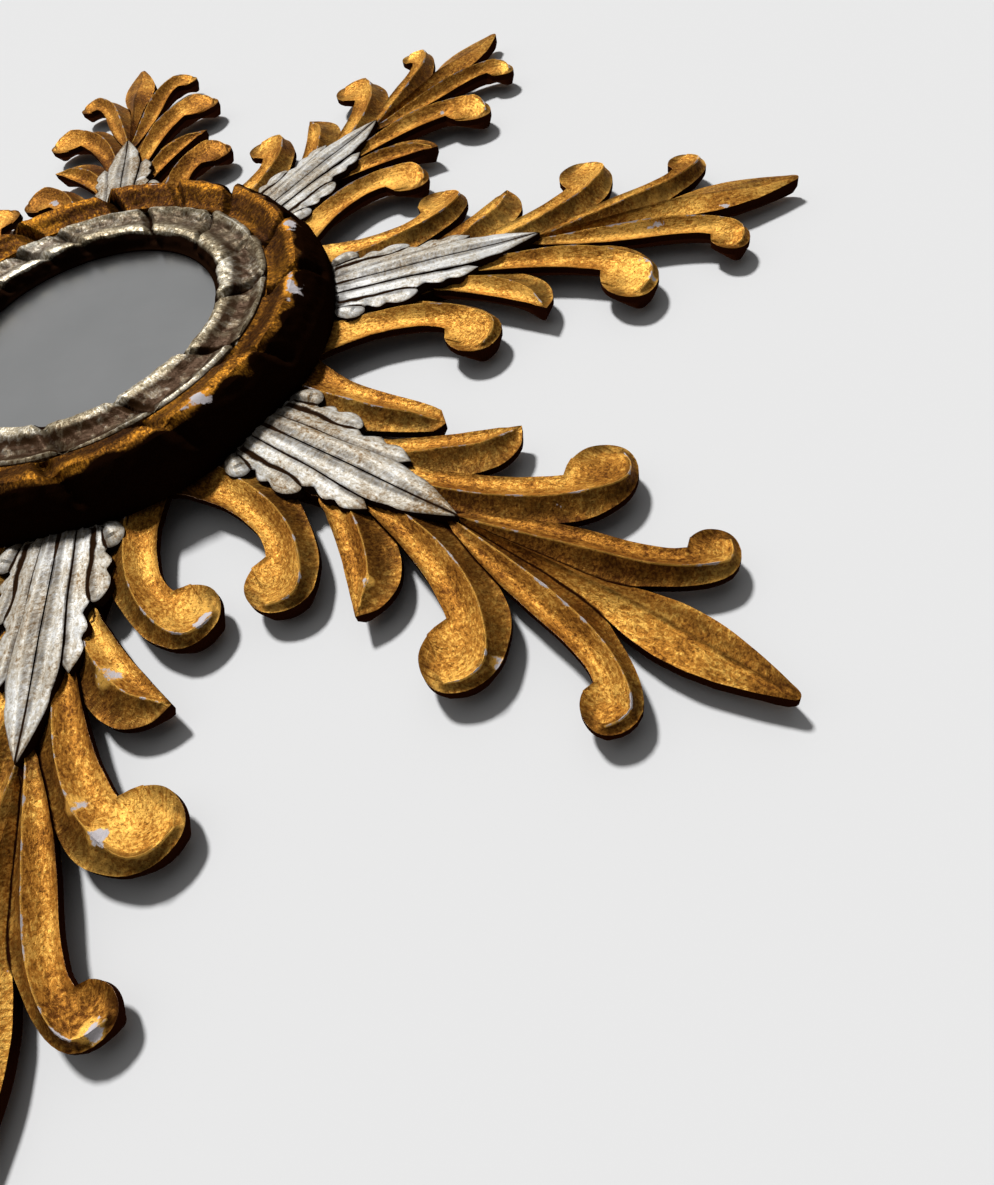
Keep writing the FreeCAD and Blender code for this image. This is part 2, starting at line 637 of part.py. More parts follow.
def export_pieces():
    """Writes each piece to a file of its own."""
    os.makedirs("parts", exist_ok=True)
    for piece in pieces:
        piece.Shape.exportStep(f"parts/{piece.Label}.step")
        print(f"{piece.Label}: {len(piece.Shape.Solids)} solids, {piece.Shape.Volume:.0f} mm3")


fill_sheet()
make_ring_frame()
make_sight_ring()
make_mirror_glass()
make_packing_ring()
make_backing_board()
make_rays()
make_sepals()
make_discs("ray_pegs", "peg_reach", "peg_radius", "peg_in_ray + peg_in_ring", f"{RING_BACK} + peg_in_ray")
make_screws(
    "ray_screws",
    [("screw_side", "screw_reach"), ("-screw_side", "screw_reach")],
    "screw_radius",
    "ray_thickness - screw_head_height + screw_bite",
    "screw_head",
    "screw_head_height",
    RAY_BACK,
    "ray_count",
)
for number, turn in turns("button_count"):
    make_turn_button(number, turn)
make_screws(
    "button_screws",
    [(BUTTON_X, BUTTON_Y)],
    "button_screw",
    f"button_play + {BUTTON_BACK} + button_screw_bite",
    "button_head",
    "button_head_height",
    f"{RING_BACK} + {BUTTON_BACK} + button_play + button_head_height",
    "button_count",
)
make_hanger_strap()
make_hanger_loop()
make_screws(
    "hanger_screw",
    [("0", "hanger_pivot - hanger_screw_drop")],
    "hanger_screw",
    "strap_thickness + hanger_screw_bite",
    "hanger_head",
    "hanger_head_height",
    f"{RAY_BACK} - pocket_depth + strap_thickness + hanger_head_height",
)
make_discs("wall_pads", "pad_reach", "pad_radius", "pad_thickness", WALL)
check_pieces()
export_pieces()
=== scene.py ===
"""Looks of a carved giltwood sunburst mirror: carved rays, silvered leaves, two rolled rings, a domed glass.

Lengths are metres in the row's frame: +Z up, the glass faces -Y, the wall is on the +Y side. A name that ends
in mm holds millimetres. Plans of the carving are in parts of the tip radius: how far out along a ray, and how
far to the side of its middle.
"""

import logging
import math
from dataclasses import dataclass, replace
from enum import Enum
from functools import cache, cached_property
from typing import Any, NamedTuple

import bmesh
import bpy
import numpy as np
from mathutils import Matrix, Vector


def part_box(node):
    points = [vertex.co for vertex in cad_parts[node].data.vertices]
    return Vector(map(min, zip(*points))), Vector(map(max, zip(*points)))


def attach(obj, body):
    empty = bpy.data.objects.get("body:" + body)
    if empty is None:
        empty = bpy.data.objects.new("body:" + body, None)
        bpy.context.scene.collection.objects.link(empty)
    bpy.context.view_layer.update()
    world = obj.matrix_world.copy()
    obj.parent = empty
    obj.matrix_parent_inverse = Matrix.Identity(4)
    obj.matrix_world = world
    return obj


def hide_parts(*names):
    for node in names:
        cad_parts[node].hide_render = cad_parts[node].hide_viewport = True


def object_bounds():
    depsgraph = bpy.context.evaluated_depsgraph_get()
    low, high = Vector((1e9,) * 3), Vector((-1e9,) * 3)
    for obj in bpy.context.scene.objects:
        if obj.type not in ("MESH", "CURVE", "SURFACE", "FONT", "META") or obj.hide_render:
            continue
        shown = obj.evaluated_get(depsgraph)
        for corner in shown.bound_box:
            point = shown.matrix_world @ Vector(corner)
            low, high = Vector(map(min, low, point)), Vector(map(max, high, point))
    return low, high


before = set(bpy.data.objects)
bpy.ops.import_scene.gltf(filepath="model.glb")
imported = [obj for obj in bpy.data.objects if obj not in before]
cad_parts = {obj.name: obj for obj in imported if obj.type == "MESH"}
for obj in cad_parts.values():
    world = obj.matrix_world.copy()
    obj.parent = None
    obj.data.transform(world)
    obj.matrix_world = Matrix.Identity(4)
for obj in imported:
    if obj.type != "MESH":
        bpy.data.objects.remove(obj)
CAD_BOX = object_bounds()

logging.basicConfig(level=logging.INFO, format="%(message)s")
log = logging.getLogger("sunburst_mirror")

Plan = tuple[tuple[float, float], ...]
MM = 0.001
TIP_RADIUS = 0.350
RING_RADIUS = 0.122
FRAME_EDGE = RING_RADIUS / TIP_RADIUS
RAY_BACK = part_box("ray_3")[1][1]
RING_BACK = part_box("ring_frame")[1][1]
BODY = "mirror"
# Crest mark in the middle of a bare patch. It is over one, so that most of the patch's core loses its leaf.
GESSO_PEAK = 1.04


def linear(code: str) -> tuple[float, float, float, float]:
    """Turns an sRGB hex colour into linear light.

    Args:
        code: Six hex digits after a hash.

    Returns:
        Red, green, blue and an alpha of one.
    """
    parts = [int(code[i : i + 2], 16) / 255 for i in (1, 3, 5)]
    light = [p / 12.92 if p <= 0.04045 else ((p + 0.055) / 1.055) ** 2.4 for p in parts]
    return light[0], light[1], light[2], 1.0


def per_mm(millimetres: float) -> float:
    """Texture scale at which one cell of a pattern is that many millimetres wide."""
    return 1.0 / (millimetres * MM)


def add(tree: Any, kind: str, inputs: dict[Any, Any] | None = None, out: Any = 0, **settings: Any) -> Any:
    """Adds a shader node with its settings and links.

    Args:
        tree: Node tree that takes the node.
        kind: Blender's name of the node type, without the word ShaderNode before it.
        inputs: Values or sockets for the node's inputs, by name or number.
        out: Name or number of the output to return.
        **settings: Properties of the node.

    Returns:
        The chosen output socket, or the node itself where it has no outputs.
    """
    node = tree.nodes.new(f"ShaderNode{kind}")
    for name, value in settings.items():
        setattr(node, name, value)
    for key, value in (inputs or {}).items():
        if isinstance(value, bpy.types.NodeSocket):
            tree.links.new(value, node.inputs[key])
        else:
            node.inputs[key].default_value = value
    return node.outputs[out] if len(node.outputs) else node


class Recipe(NamedTuple):
    """What a finish asks of its shader: a ground colour, layers over it, and values for the other sockets.

    A layer is a pattern that says how far it covers, and its colour.
    """

    ground: str
    layers: tuple[tuple[Any, str], ...]
    values: dict[str, Any]


@dataclass(frozen=True)
class Coat:
    """A finish that becomes one material."""

    name: str

    def recipe(self, tree: Any, place: Any) -> Recipe:
        """Adds the finish's patterns to a tree, from object coordinates, and says what the shader gets."""
        raise NotImplementedError

    def surface(self, tree: Any) -> Any:
        """Mixes the layers over the ground in turn and adds the shader.

        Args:
            tree: Node tree of the material.

        Returns:
            The shader's output.
        """
        ground, layers, values = self.recipe(tree, add(tree, "TexCoord", out="Object"))
        colour: Any = linear(ground)
        for cover, over in layers:
            colour = add(tree, "Mix", {0: cover, 6: colour, 7: linear(over)}, out=2, data_type="RGBA")
        return add(tree, "BsdfPrincipled", {"Base Color": colour, **values})

    def build(self) -> bpy.types.Material:
        """Makes the material.

        Returns:
            The material, with the finish's surface on it.
        """
        material = bpy.data.materials.new(self.name)
        material.use_nodes = True
        tree = material.node_tree
        tree.nodes.clear()
        add(tree, "OutputMaterial", {"Surface": self.surface(tree)})
        return material


# Patterns of metal leaf by the width of a cell: broad patches, chips, mottle, grit, rare flakes.
LEAF_NOISES = (
    {"Scale": per_mm(24), "Detail": 3.0},
    {"Scale": per_mm(6), "Detail": 6.0},
    {"Scale": per_mm(1.6), "Detail": 6.0, "Roughness": 0.75, "Distortion": 0.6},
    {"Scale": per_mm(0.9), "Detail": 3.0, "Roughness": 0.6},
    {"Scale": per_mm(19), "Detail": 5.0},
)
STROKE_NOISE = {"Scale": per_mm(1.1), "Detail": 3.0, "Roughness": 0.6, "Distortion": 0.5}


@dataclass(frozen=True)
class LeafGilding(Coat):
    """Metal leaf laid over coloured clay and white gesso on carved wood, rubbed on its crests.

    The leaf gives a soft broken gleam. Painted shade and patina lie dark in the hollows, creases and notches
    and on the outer facets, in the shade colour where one is named and the clay's colour elsewhere. Cut sides
    are bare clay, dark enough to stand in for the shade they lie in. Gesso shows white along the worn crests.
    """

    light: str
    middle: str
    dark: str
    bole: str
    gesso: str
    metallic: float
    shade_depth: float
    wear: float
    roughness: float
    relief_depth: float
    speckle: float
    shade_and_patina_colour: str = ""
    crackle_mm: float = 3.4
    relief_mm: float = 0.34
    stroke_stretch: tuple[float, float, float] = (1.0, 0.4, 1.0)
    leaf_gloss: float = 0.1
    bare_roughness: float = 0.75

    def relief(self, tree: Any, place: Any, patterns: tuple[tuple[Any, float], ...]) -> Any:
        """Adds the surface's relief: crackle, and other patterns by their weights.

        Args:
            tree: Node tree of the material.
            place: Object coordinates.
            patterns: Patterns and how much of each to add.

        Returns:
            The bumped normal.
        """
        cells = {"Vector": place, "Scale": per_mm(self.crackle_mm), "Randomness": 1.0}
        crackle = add(tree, "TexVoronoi", cells, out="Distance", feature="DISTANCE_TO_EDGE")
        height = add(tree, "MapRange", {"Value": crackle, "From Max": 0.08, "To Max": 0.12})
        for pattern, weight in patterns:
            height = add(tree, "Math", {0: pattern, 1: weight, 2: height}, operation="MULTIPLY_ADD")
        depth = {"Strength": self.relief_depth, "Distance": self.relief_mm * MM}
        return add(tree, "Bump", {**depth, "Height": height})

    def recipe(self, tree: Any, place: Any) -> Recipe:
        """Lays leaf, toning, rubbed metal, clay and gesso by patterns and by the piece's own marks.

        The mean of three patterns, moved by the piece's painted light shift, takes the leaf from dark to
        light. Gesso shows in rare flakes, and where the crest's mark and a share of two patterns together
        pass a limit.

        Args:
            tree: Node tree of the material.
            place: Object coordinates.

        Returns:
            What the shader gets.
        """
        marks = ("crest", "shade", "wall", "tint")
        crest, shade, wall, tint = (add(tree, "Attribute", out="Fac", attribute_name=mark) for mark in marks)
        broad, chips, mottle, grain, flake = (
            add(tree, "TexNoise", {"Vector": place, **noise}, out="Fac") for noise in LEAF_NOISES
        )
        carve = add(tree, "Attribute", out="Vector", attribute_name="carve")
        gouged = add(tree, "Mapping", {"Vector": carve, "Scale": self.stroke_stretch})
        strokes = add(tree, "TexNoise", {"Vector": gouged, **STROKE_NOISE}, out="Fac")
        tone = add(tree, "Math", {0: broad, 1: mottle}, operation="ADD")
        tone = add(tree, "Math", {0: tone, 1: strokes}, operation="ADD")
        # Painted light and shade: a whole ray's leaf is made lighter or darker.
        tone = add(tree, "Math", {0: tone, 1: 1 / 3, 2: tint}, operation="MULTIPLY_ADD")
        leaf = add(tree, "MapRange", {"Value": tone, "From Min": 0.41, "From Max": 0.495})
        glow = add(tree, "MapRange", {"Value": tone, "From Min": 0.505, "From Max": 0.585})
        patchy = add(tree, "MapRange", {"Value": chips, "From Min": 0.38, "From Max": 0.58, "To Min": 0.6})
        # Painted shade, with some patina: the shade mark darkens hollows, creases, outer facets and the
        # rings' shaded sides.
        shade_and_patina = add(tree, "Math", {0: shade, 1: self.shade_depth}, operation="MULTIPLY")
        shade_and_patina = add(tree, "Math", {0: shade_and_patina, 1: patchy}, operation="MULTIPLY")
        rubbed = add(tree, "MapRange", {"Value": crest, "From Min": 0.95, "To Max": 0.9})
        grit = {"From Min": 0.58, "From Max": 0.66, "To Max": self.speckle}
        speck = add(tree, "MapRange", {"Value": grain, **grit})
        # Bare clay on cut sides, which also paints the shade in creases, notches and on the rings' steep
        # walls.
        side = add(tree, "Math", {0: mottle, 1: -0.35, 2: wall}, operation="MULTIPLY_ADD")
        side = add(tree, "MapRange", {"Value": side, "From Min": 0.25, "From Max": 0.7})
        chip = add(tree, "Math", {0: chips, 1: self.wear, 2: crest}, operation="MULTIPLY_ADD")
        chip = add(tree, "Math", {0: mottle, 1: 0.14, 2: chip}, operation="MULTIPLY_ADD")
        chip = add(tree, "MapRange", {"Value": chip, "From Min": 1.272, "From Max": 1.297})
        flake = add(tree, "MapRange", {"Value": flake, "From Min": 0.715, "From Max": 0.725})
        flake = add(tree, "Math", {0: flake, 1: wall}, operation="SUBTRACT", use_clamp=True)
        chip = add(tree, "Math", {0: chip, 1: flake}, operation="MAXIMUM")
        bare = add(tree, "Math", {0: chip, 1: side}, operation="MAXIMUM")
        bare = add(tree, "Math", {0: bare, 1: speck}, operation="MAXIMUM")
        polish = {"To Min": self.roughness + 0.12, "To Max": self.roughness - 0.08}
        rough = add(tree, "MapRange", {"Value": mottle, "From Min": 0.3, "From Max": 0.7, **polish})
        layers = (
            (leaf, self.middle),
            (glow, self.light),
            (shade_and_patina, self.shade_and_patina_colour or self.bole),
            (rubbed, self.light),
            (speck, self.bole),
            (side, self.bole),
            (chip, self.gesso),
        )
        gloss = add(tree, "MapRange", {"Value": bare, "To Min": self.leaf_gloss, "To Max": 0.0})
        values = {
            "Metallic": add(tree, "MapRange", {"Value": bare, "To Min": self.metallic, "To Max": 0.0}),
            "Roughness": add(tree, "Mix", {0: bare, 2: rough, 3: self.bare_roughness}),
            "Specular IOR Level": gloss,
            "Specular Tint": linear(self.light),
            "Normal": self.relief(tree, place, ((strokes, 0.8), (mottle, 0.9), (grain, 0.45))),
        }
        return Recipe(self.dark, layers, values)


@dataclass(frozen=True)
class GrainedWood(Coat):
    """Sawn wood: long darker fibres, a dull open surface and a little dirt."""

    pale: str
    deep: str
    fibre_mm: float
    stretch: tuple[float, float, float]
    mark: str = ""
    dirt_mm: float = 35.0

    def recipe(self, tree: Any, place: Any) -> Recipe:
        """Lets noise that is stretched along the grain set tone, roughness and relief.

        Args:
            tree: Node tree of the material.
            place: Object coordinates, which the grain follows where the piece has no mark of its own for it.

        Returns:
            What the shader gets.
        """
        if self.mark:
            place = add(tree, "Attribute", out="Vector", attribute_name=self.mark)
        along = add(tree, "Mapping", {"Vector": place, "Scale": self.stretch})
        noise = {"Scale": per_mm(self.fibre_mm), "Detail": 6.0, "Roughness": 0.6}
        fibre = add(tree, "TexNoise", {"Vector": along, **noise}, out="Fac")
        patches = {"Scale": per_mm(self.dirt_mm), "Detail": 4.0}
        dirt = add(tree, "TexNoise", {"Vector": place, **patches}, out="Fac")
        tone = add(tree, "MapRange", {"Value": fibre, "From Min": 0.35, "From Max": 0.65})
        stain = add(tree, "MapRange", {"Value": dirt, "From Min": 0.45, "From Max": 0.75, "To Max": 0.6})
        rough = add(tree, "MapRange", {"Value": fibre, "To Min": 0.9, "To Max": 0.62})
        bump = add(tree, "Bump", {"Strength": 0.4, "Distance": 0.3 * MM, "Height": fibre})
        layers = ((tone, self.pale), (stain, self.deep))
        return Recipe(self.deep, layers, {"Roughness": rough, "Normal": bump})


@dataclass(frozen=True)
class AgedMetal(Coat):
    """Drawn or pressed metal that has dulled: clear patches, darker film and fine rubbed lines."""

    clean: str
    film: str
    roughness: float
    patch_mm: float = 5.0
    scratch_mm: float = 0.5

    def recipe(self, tree: Any, place: Any) -> Recipe:
        """Lays a patchy film over the metal, and fine scratches in its relief.

        Args:
            tree: Node tree of the material.
            place: Object coordinates.

        Returns:
            What the shader gets.
        """
        noise = {"Scale": per_mm(self.patch_mm), "Detail": 5.0, "Roughness": 0.65}
        patch = add(tree, "TexNoise", {"Vector": place, **noise}, out="Fac")
        rubbed = add(tree, "Mapping", {"Vector": place, "Scale": (1.0, 1.0, 0.12)})
        lines = {"Scale": per_mm(self.scratch_mm), "Detail": 2.0}
        scratch = add(tree, "TexNoise", {"Vector": rubbed, **lines}, out="Fac")
        film = add(tree, "MapRange", {"Value": patch, "From Min": 0.42, "From Max": 0.66})
        dulled = {"To Min": self.roughness - 0.1, "To Max": self.roughness + 0.2}
        rough = add(tree, "MapRange", {"Value": patch, **dulled})
        bump = add(tree, "Bump", {"Strength": 0.25, "Distance": 0.1 * MM, "Height": scratch})
        values = {"Metallic": 1.0, "Roughness": rough, "Normal": bump}
        return Recipe(self.clean, ((film, self.film),), values)


@dataclass(frozen=True)
class PressedFelt(Coat):
    """Pressed wool felt: matt, with short matted fibres and a faint sheen."""

    pale: str
    deep: str

    def recipe(self, tree: Any, place: Any) -> Recipe:
        """Draws the fibres as tangled noise, about a millimetre wide so that it shows.

        Args:
            tree: Node tree of the material.
            place: Object coordinates.

        Returns:
            What the shader gets.
        """
        noise = {"Scale": per_mm(1.0), "Detail": 5.0, "Distortion": 2.0}
        fibre = add(tree, "TexNoise", {"Vector": place, **noise}, out="Fac")
        tone = add(tree, "MapRange", {"Value": fibre, "From Min": 0.35, "From Max": 0.65})
        bump = add(tree, "Bump", {"Strength": 0.8, "Distance": 0.4 * MM, "Height": fibre})
        values = {"Roughness": 0.95, "Sheen Weight": 0.3, "Normal": bump}
        return Recipe(self.deep, ((tone, self.pale),), values)


@dataclass(frozen=True)
class SilveredGlass(Coat):
    """Old silvered glass: an even grey reflection, a little soft, with a very faint bloom."""

    silver: str
    bloom: str

    def recipe(self, tree: Any, place: Any) -> Recipe:
        """Gives a smooth metal a slight change of tone and roughness over its face.

        Args:
            tree: Node tree of the material.
            place: Object coordinates.

        Returns:
            What the shader gets.
        """
        haze = add(tree, "TexNoise", {"Vector": place, "Scale": per_mm(40), "Detail": 4.0}, out="Fac")
        tone = add(tree, "MapRange", {"Value": haze, "From Min": 0.35, "From Max": 0.75, "To Max": 0.35})
        rough = add(tree, "MapRange", {"Value": haze, "To Min": 0.26, "To Max": 0.32})
        return Recipe(self.silver, ((tone, self.bloom),), {"Metallic": 1.0, "Roughness": rough})


@dataclass(frozen=True)
class WallPaint(Coat):
    """Plain pale studio wall, painted on its front only, so that it can't hide the object's back."""

    colour: str

    def recipe(self, tree: Any, place: Any) -> Recipe:
        """Matt paint, the same all over."""
        return Recipe(self.colour, (), {"Roughness": 1.0, "Specular IOR Level": 0.0})

    def surface(self, tree: Any) -> Any:
        """Adds the paint in front and nothing behind.

        Args:
            tree: Node tree of the material.

        Returns:
            The shader's output.
        """
        clear = add(tree, "BsdfTransparent")
        behind = add(tree, "NewGeometry", out="Backfacing")
        return add(tree, "MixShader", {0: behind, 1: super().surface(tree), 2: clear})


class Finish(Enum):
    """The finishes of the mirror and of the wall behind it."""

    GOLD = LeafGilding(
        "worn_gold_leaf",
        light="#FFC45E", middle="#BE8032", dark="#683C16", bole="#240E05", gesso="#CFC8CA",
        metallic=0.42, shade_depth=0.76, wear=0.40, roughness=0.44, relief_depth=0.75, speckle=0.55,
    )
    BRONZED = LeafGilding(
        "bronzed_gold_leaf",
        light="#C08228", middle="#6C4414", dark="#2A1706", bole="#180A03", gesso="#CFC8CA",
        metallic=0.55, shade_depth=0.7, wear=0.42, roughness=0.46, relief_depth=0.7, speckle=0.75,
    )
    SILVER = LeafGilding(
        "tarnished_silver_leaf",
        light="#F4F3EF", middle="#D0C6B4", dark="#8E7048", bole="#2A1A0E", gesso="#E6E2DC",
        metallic=0.12, shade_depth=0.85, wear=0.38, roughness=0.45, relief_depth=0.32, speckle=0.3,
    )
    SLIP = LeafGilding(
        "silvered_slip",
        light="#EAE3D2", middle="#A4967A", dark="#54412A", bole="#22130A", gesso="#E2DED8",
        metallic=0.3, shade_depth=1.25, wear=0.38, roughness=0.38, relief_depth=0.5, speckle=0.5,
        shade_and_patina_colour="#38220E",
    )
    RAW_BACK = GrainedWood("stained_pine_back", "#8A6236", "#4A2E16", 2.2, (1.0, 0.08, 1.0), mark="carve")
    BOARD = GrainedWood("stained_plywood", "#7D5A38", "#4C3320", 1.6, (0.06, 1.0, 1.0))
    PEG = GrainedWood("plain_beech", "#C9A878", "#A67F50", 0.8, (1.0, 0.1, 1.0))
    BRASS = AgedMetal("aged_brass", clean="#C9A24C", film="#6E4F1E", roughness=0.34)
    STEEL = AgedMetal("dull_steel", clean="#9A9893", film="#57534C", roughness=0.42)
    FELT = PressedFelt("pressed_felt", pale="#3C3A35", deep="#1B1A17")
    GLASS = SilveredGlass("silvered_glass", silver="#F2F3F3", bloom="#D9DBDA")
    WALL = WallPaint("pale_wall_paint", "#EBEBEB")

    @cache
    def material(self) -> bpy.types.Material:
        """The finish's material, made at its first use."""
        return self.value.build()


def ripple(points: np.ndarray, wavelength: float, seed: int) -> np.ndarray:
    """Hand-made unevenness: a sum of six sine waves of about one length in directions drawn from a seed.

    Args:
        points: Places, in metres, with the coordinates in the last axis.
        wavelength: Length of the waves, in metres.
        seed: Chooses directions, lengths and phases.

    Returns:
        One value for each place, mostly between -1 and 1.
    """
    waves = 6
    random = np.random.default_rng(seed)
    ways = random.normal(size=(waves, points.shape[-1]))
    ways /= np.linalg.norm(ways, axis=1, keepdims=True)
    stretch = random.uniform(0.7, 1.5, waves) * 2 * math.pi / wavelength
    phases = random.uniform(0, 2 * math.pi, waves)
    return np.sin((points @ ways.T) * stretch + phases).sum(axis=-1) / 4


def ease(low: float, high: float, value: np.ndarray) -> np.ndarray:
    """Smooth step: 0 at low and before it, 1 at high and past it, and 3t^2 - 2t^3 between them."""
    part = np.clip((value - low) / (high - low), 0.0, 1.0)
    return part * part * (3 - 2 * part)


def bell(value: np.ndarray, width: float) -> np.ndarray:
    """Bell curve: exp(-(value / width)^2), which is 1 at zero."""
    return np.exp(-((value / width) ** 2))


def angle_from(start: Any, angle: np.ndarray) -> np.ndarray:
    """Angle from a start, in degrees, brought between -180 and 180."""
    return (angle - start + 180) % 360 - 180


def turned(radius: np.ndarray, height: np.ndarray, angle: np.ndarray, back: float) -> np.ndarray:
    """Section turned about the Y axis: x = r sin a, y = back - height, z = r cos a."""
    x, z = radius * np.sin(angle), radius * np.cos(angle)
    return np.stack(np.broadcast_arrays(x, back - height, z), axis=-1)


def walked(line: np.ndarray) -> np.ndarray:
    """Distance walked along a line of points up to each of them."""
    return np.concatenate([[0.0], np.cumsum(np.linalg.norm(np.diff(line, axis=0), axis=1))])


def gap_between(points: np.ndarray, others: np.ndarray) -> np.ndarray:
    """Distance from each point to the nearest of the other points, by |a - b|^2 = |a|^2 - 2ab + |b|^2.

    Args:
        points: Places, one per row.
        others: Places to measure to. Those more than 3 mm outside the points' box are left out.

    Returns:
        One distance for each point, 3 mm where none is near.
    """
    reach, block_rows = 3 * MM, 150
    near = np.all((others > points.min(axis=0) - reach) & (others < points.max(axis=0) + reach), axis=1)
    if not near.any():
        return np.full(len(points), reach)
    middle = points.mean(axis=0)
    others = ((others[near] - middle) / MM).astype(np.float32)
    lengths = (others**2).sum(axis=1)
    squares = []
    for block in np.array_split(((points - middle) / MM).astype(np.float32), 1 + len(points) // block_rows):
        nearest = (lengths - 2 * block @ others.T).min(axis=1)
        squares.append(nearest + (block**2).sum(axis=1))
    return np.sqrt(np.maximum(np.concatenate(squares), 0)) * MM


def curve(points: Plan, samples: int, closed: bool = False, corners: tuple[int, ...] = ()) -> np.ndarray:
    """Smooth curve through points: each span is a cubic that leaves a point along the line of its neighbours.

    Args:
        points: Points that the curve passes through.
        samples: How many points to give, evenly spaced along the curve.
        closed: Whether the curve returns to its first point.
        corners: Numbers of points where the curve bends sharply.

    Returns:
        The samples, one per row.
    """
    steps_per_span = 24
    start = np.array(points, float)
    before, after = np.roll(start, 1, axis=0), np.roll(start, -1, axis=0)
    if not closed:
        before[0], after[-1] = start[0], start[-1]
    slope_out, slope_in = after - before, after - before
    for corner in corners:
        slope_out[corner], slope_in[corner] = (after - start)[corner], (start - before)[corner]
    slope_out /= np.linalg.norm(slope_out, axis=1, keepdims=True)
    slope_in /= np.linalg.norm(slope_in, axis=1, keepdims=True)
    spans = len(start) if closed else len(start) - 1
    length = np.linalg.norm(after - start, axis=1, keepdims=True)[:spans, None]
    t = np.linspace(0, 1, steps_per_span, endpoint=False)[None, :, None]
    ahead = slope_out[:spans, None] * length
    arrive = np.roll(slope_in, -1, axis=0)[:spans, None] * length
    line = (
        (2 * t**3 - 3 * t**2 + 1) * start[:spans, None]
        + (t**3 - 2 * t**2 + t) * ahead
        + (3 * t**2 - 2 * t**3) * after[:spans, None]
        + (t**3 - t**2) * arrive
    ).reshape(-1, start.shape[1])
    line = np.vstack([line, start[:1] if closed else start[-1:]])
    travel = walked(line)
    wanted = np.linspace(0, travel[-1], samples, endpoint=not closed)
    return np.stack([np.interp(wanted, travel, axis) for axis in line.T], axis=1)


# Rows of a lobe's grid on its carved top, which come last, and how far from rim to crest each one lies.
TOP_ROWS = 16
CLIMB = np.linspace(0, 1, TOP_ROWS)[:, None]


@dataclass
class Shell:
    """A closed surface on a grid whose columns run round it, with marks for the finish at each point."""

    points: np.ndarray
    crest: np.ndarray
    shade: np.ndarray
    wall: np.ndarray
    carve: np.ndarray
    bare_rows: int = 0
    closed_rows: bool = False
    tint: float = 0.0

    @classmethod
    def plain(cls, points: np.ndarray) -> "Shell":
        """A surface with blank marks."""
        blank = np.zeros(points.shape[:2])
        return cls(points, blank, blank, blank, points)

    def reversed(self) -> "Shell":
        """The same surface with its columns in the other order, which turns a mirrored one right side out."""
        marks = (self.points, self.crest, self.shade, self.wall, self.carve)
        return Shell(*(mark[:, ::-1] for mark in marks), self.bare_rows, self.closed_rows, self.tint)

    def skin(self, steps: int = 6, between: int = 3) -> np.ndarray:
        """Points all over a lobe's top, upright edge and bevel, some of them between the grid's columns.

        Args:
            steps: Rows on the bevel and on the edge.
            between: How many points stand in for each column.

        Returns:
            The points, in rows round the lobe.
        """
        low, middle, high = self.points[-TOP_ROWS - 3 : -TOP_ROWS]
        part = np.linspace(0, 1, steps)[:, None, None]
        rows = [self.points[-TOP_ROWS:], low + (middle - low) * part, middle + (high - middle) * part]
        grid = np.concatenate(rows)
        shift = np.roll(grid, -1, axis=1) - grid
        return np.concatenate([grid + shift * number / between for number in range(between)])

    def faces(self, first: int) -> np.ndarray:
        """Joins neighbouring rows and columns by quads.

        Args:
            first: Number of the surface's first point in the piece.

        Returns:
            The quads, four point numbers per row.
        """
        rows, columns = self.points.shape[:2]
        number = first + np.arange(rows * columns).reshape(rows, columns)
        if self.closed_rows:
            number = np.vstack([number, number[:1]])
        right = np.roll(number, -1, axis=1)
        return np.stack([number[:-1], right[:-1], right[1:], number[1:]], axis=-1).reshape(-1, 4)

    def slots(self) -> np.ndarray:
        """Material number of each quad: 1 on the first bare rows, 0 elsewhere."""
        rows, columns = self.points.shape[:2]
        row = np.arange(rows if self.closed_rows else rows - 1)
        return np.repeat((row < self.bare_rows).astype(np.int32), columns)


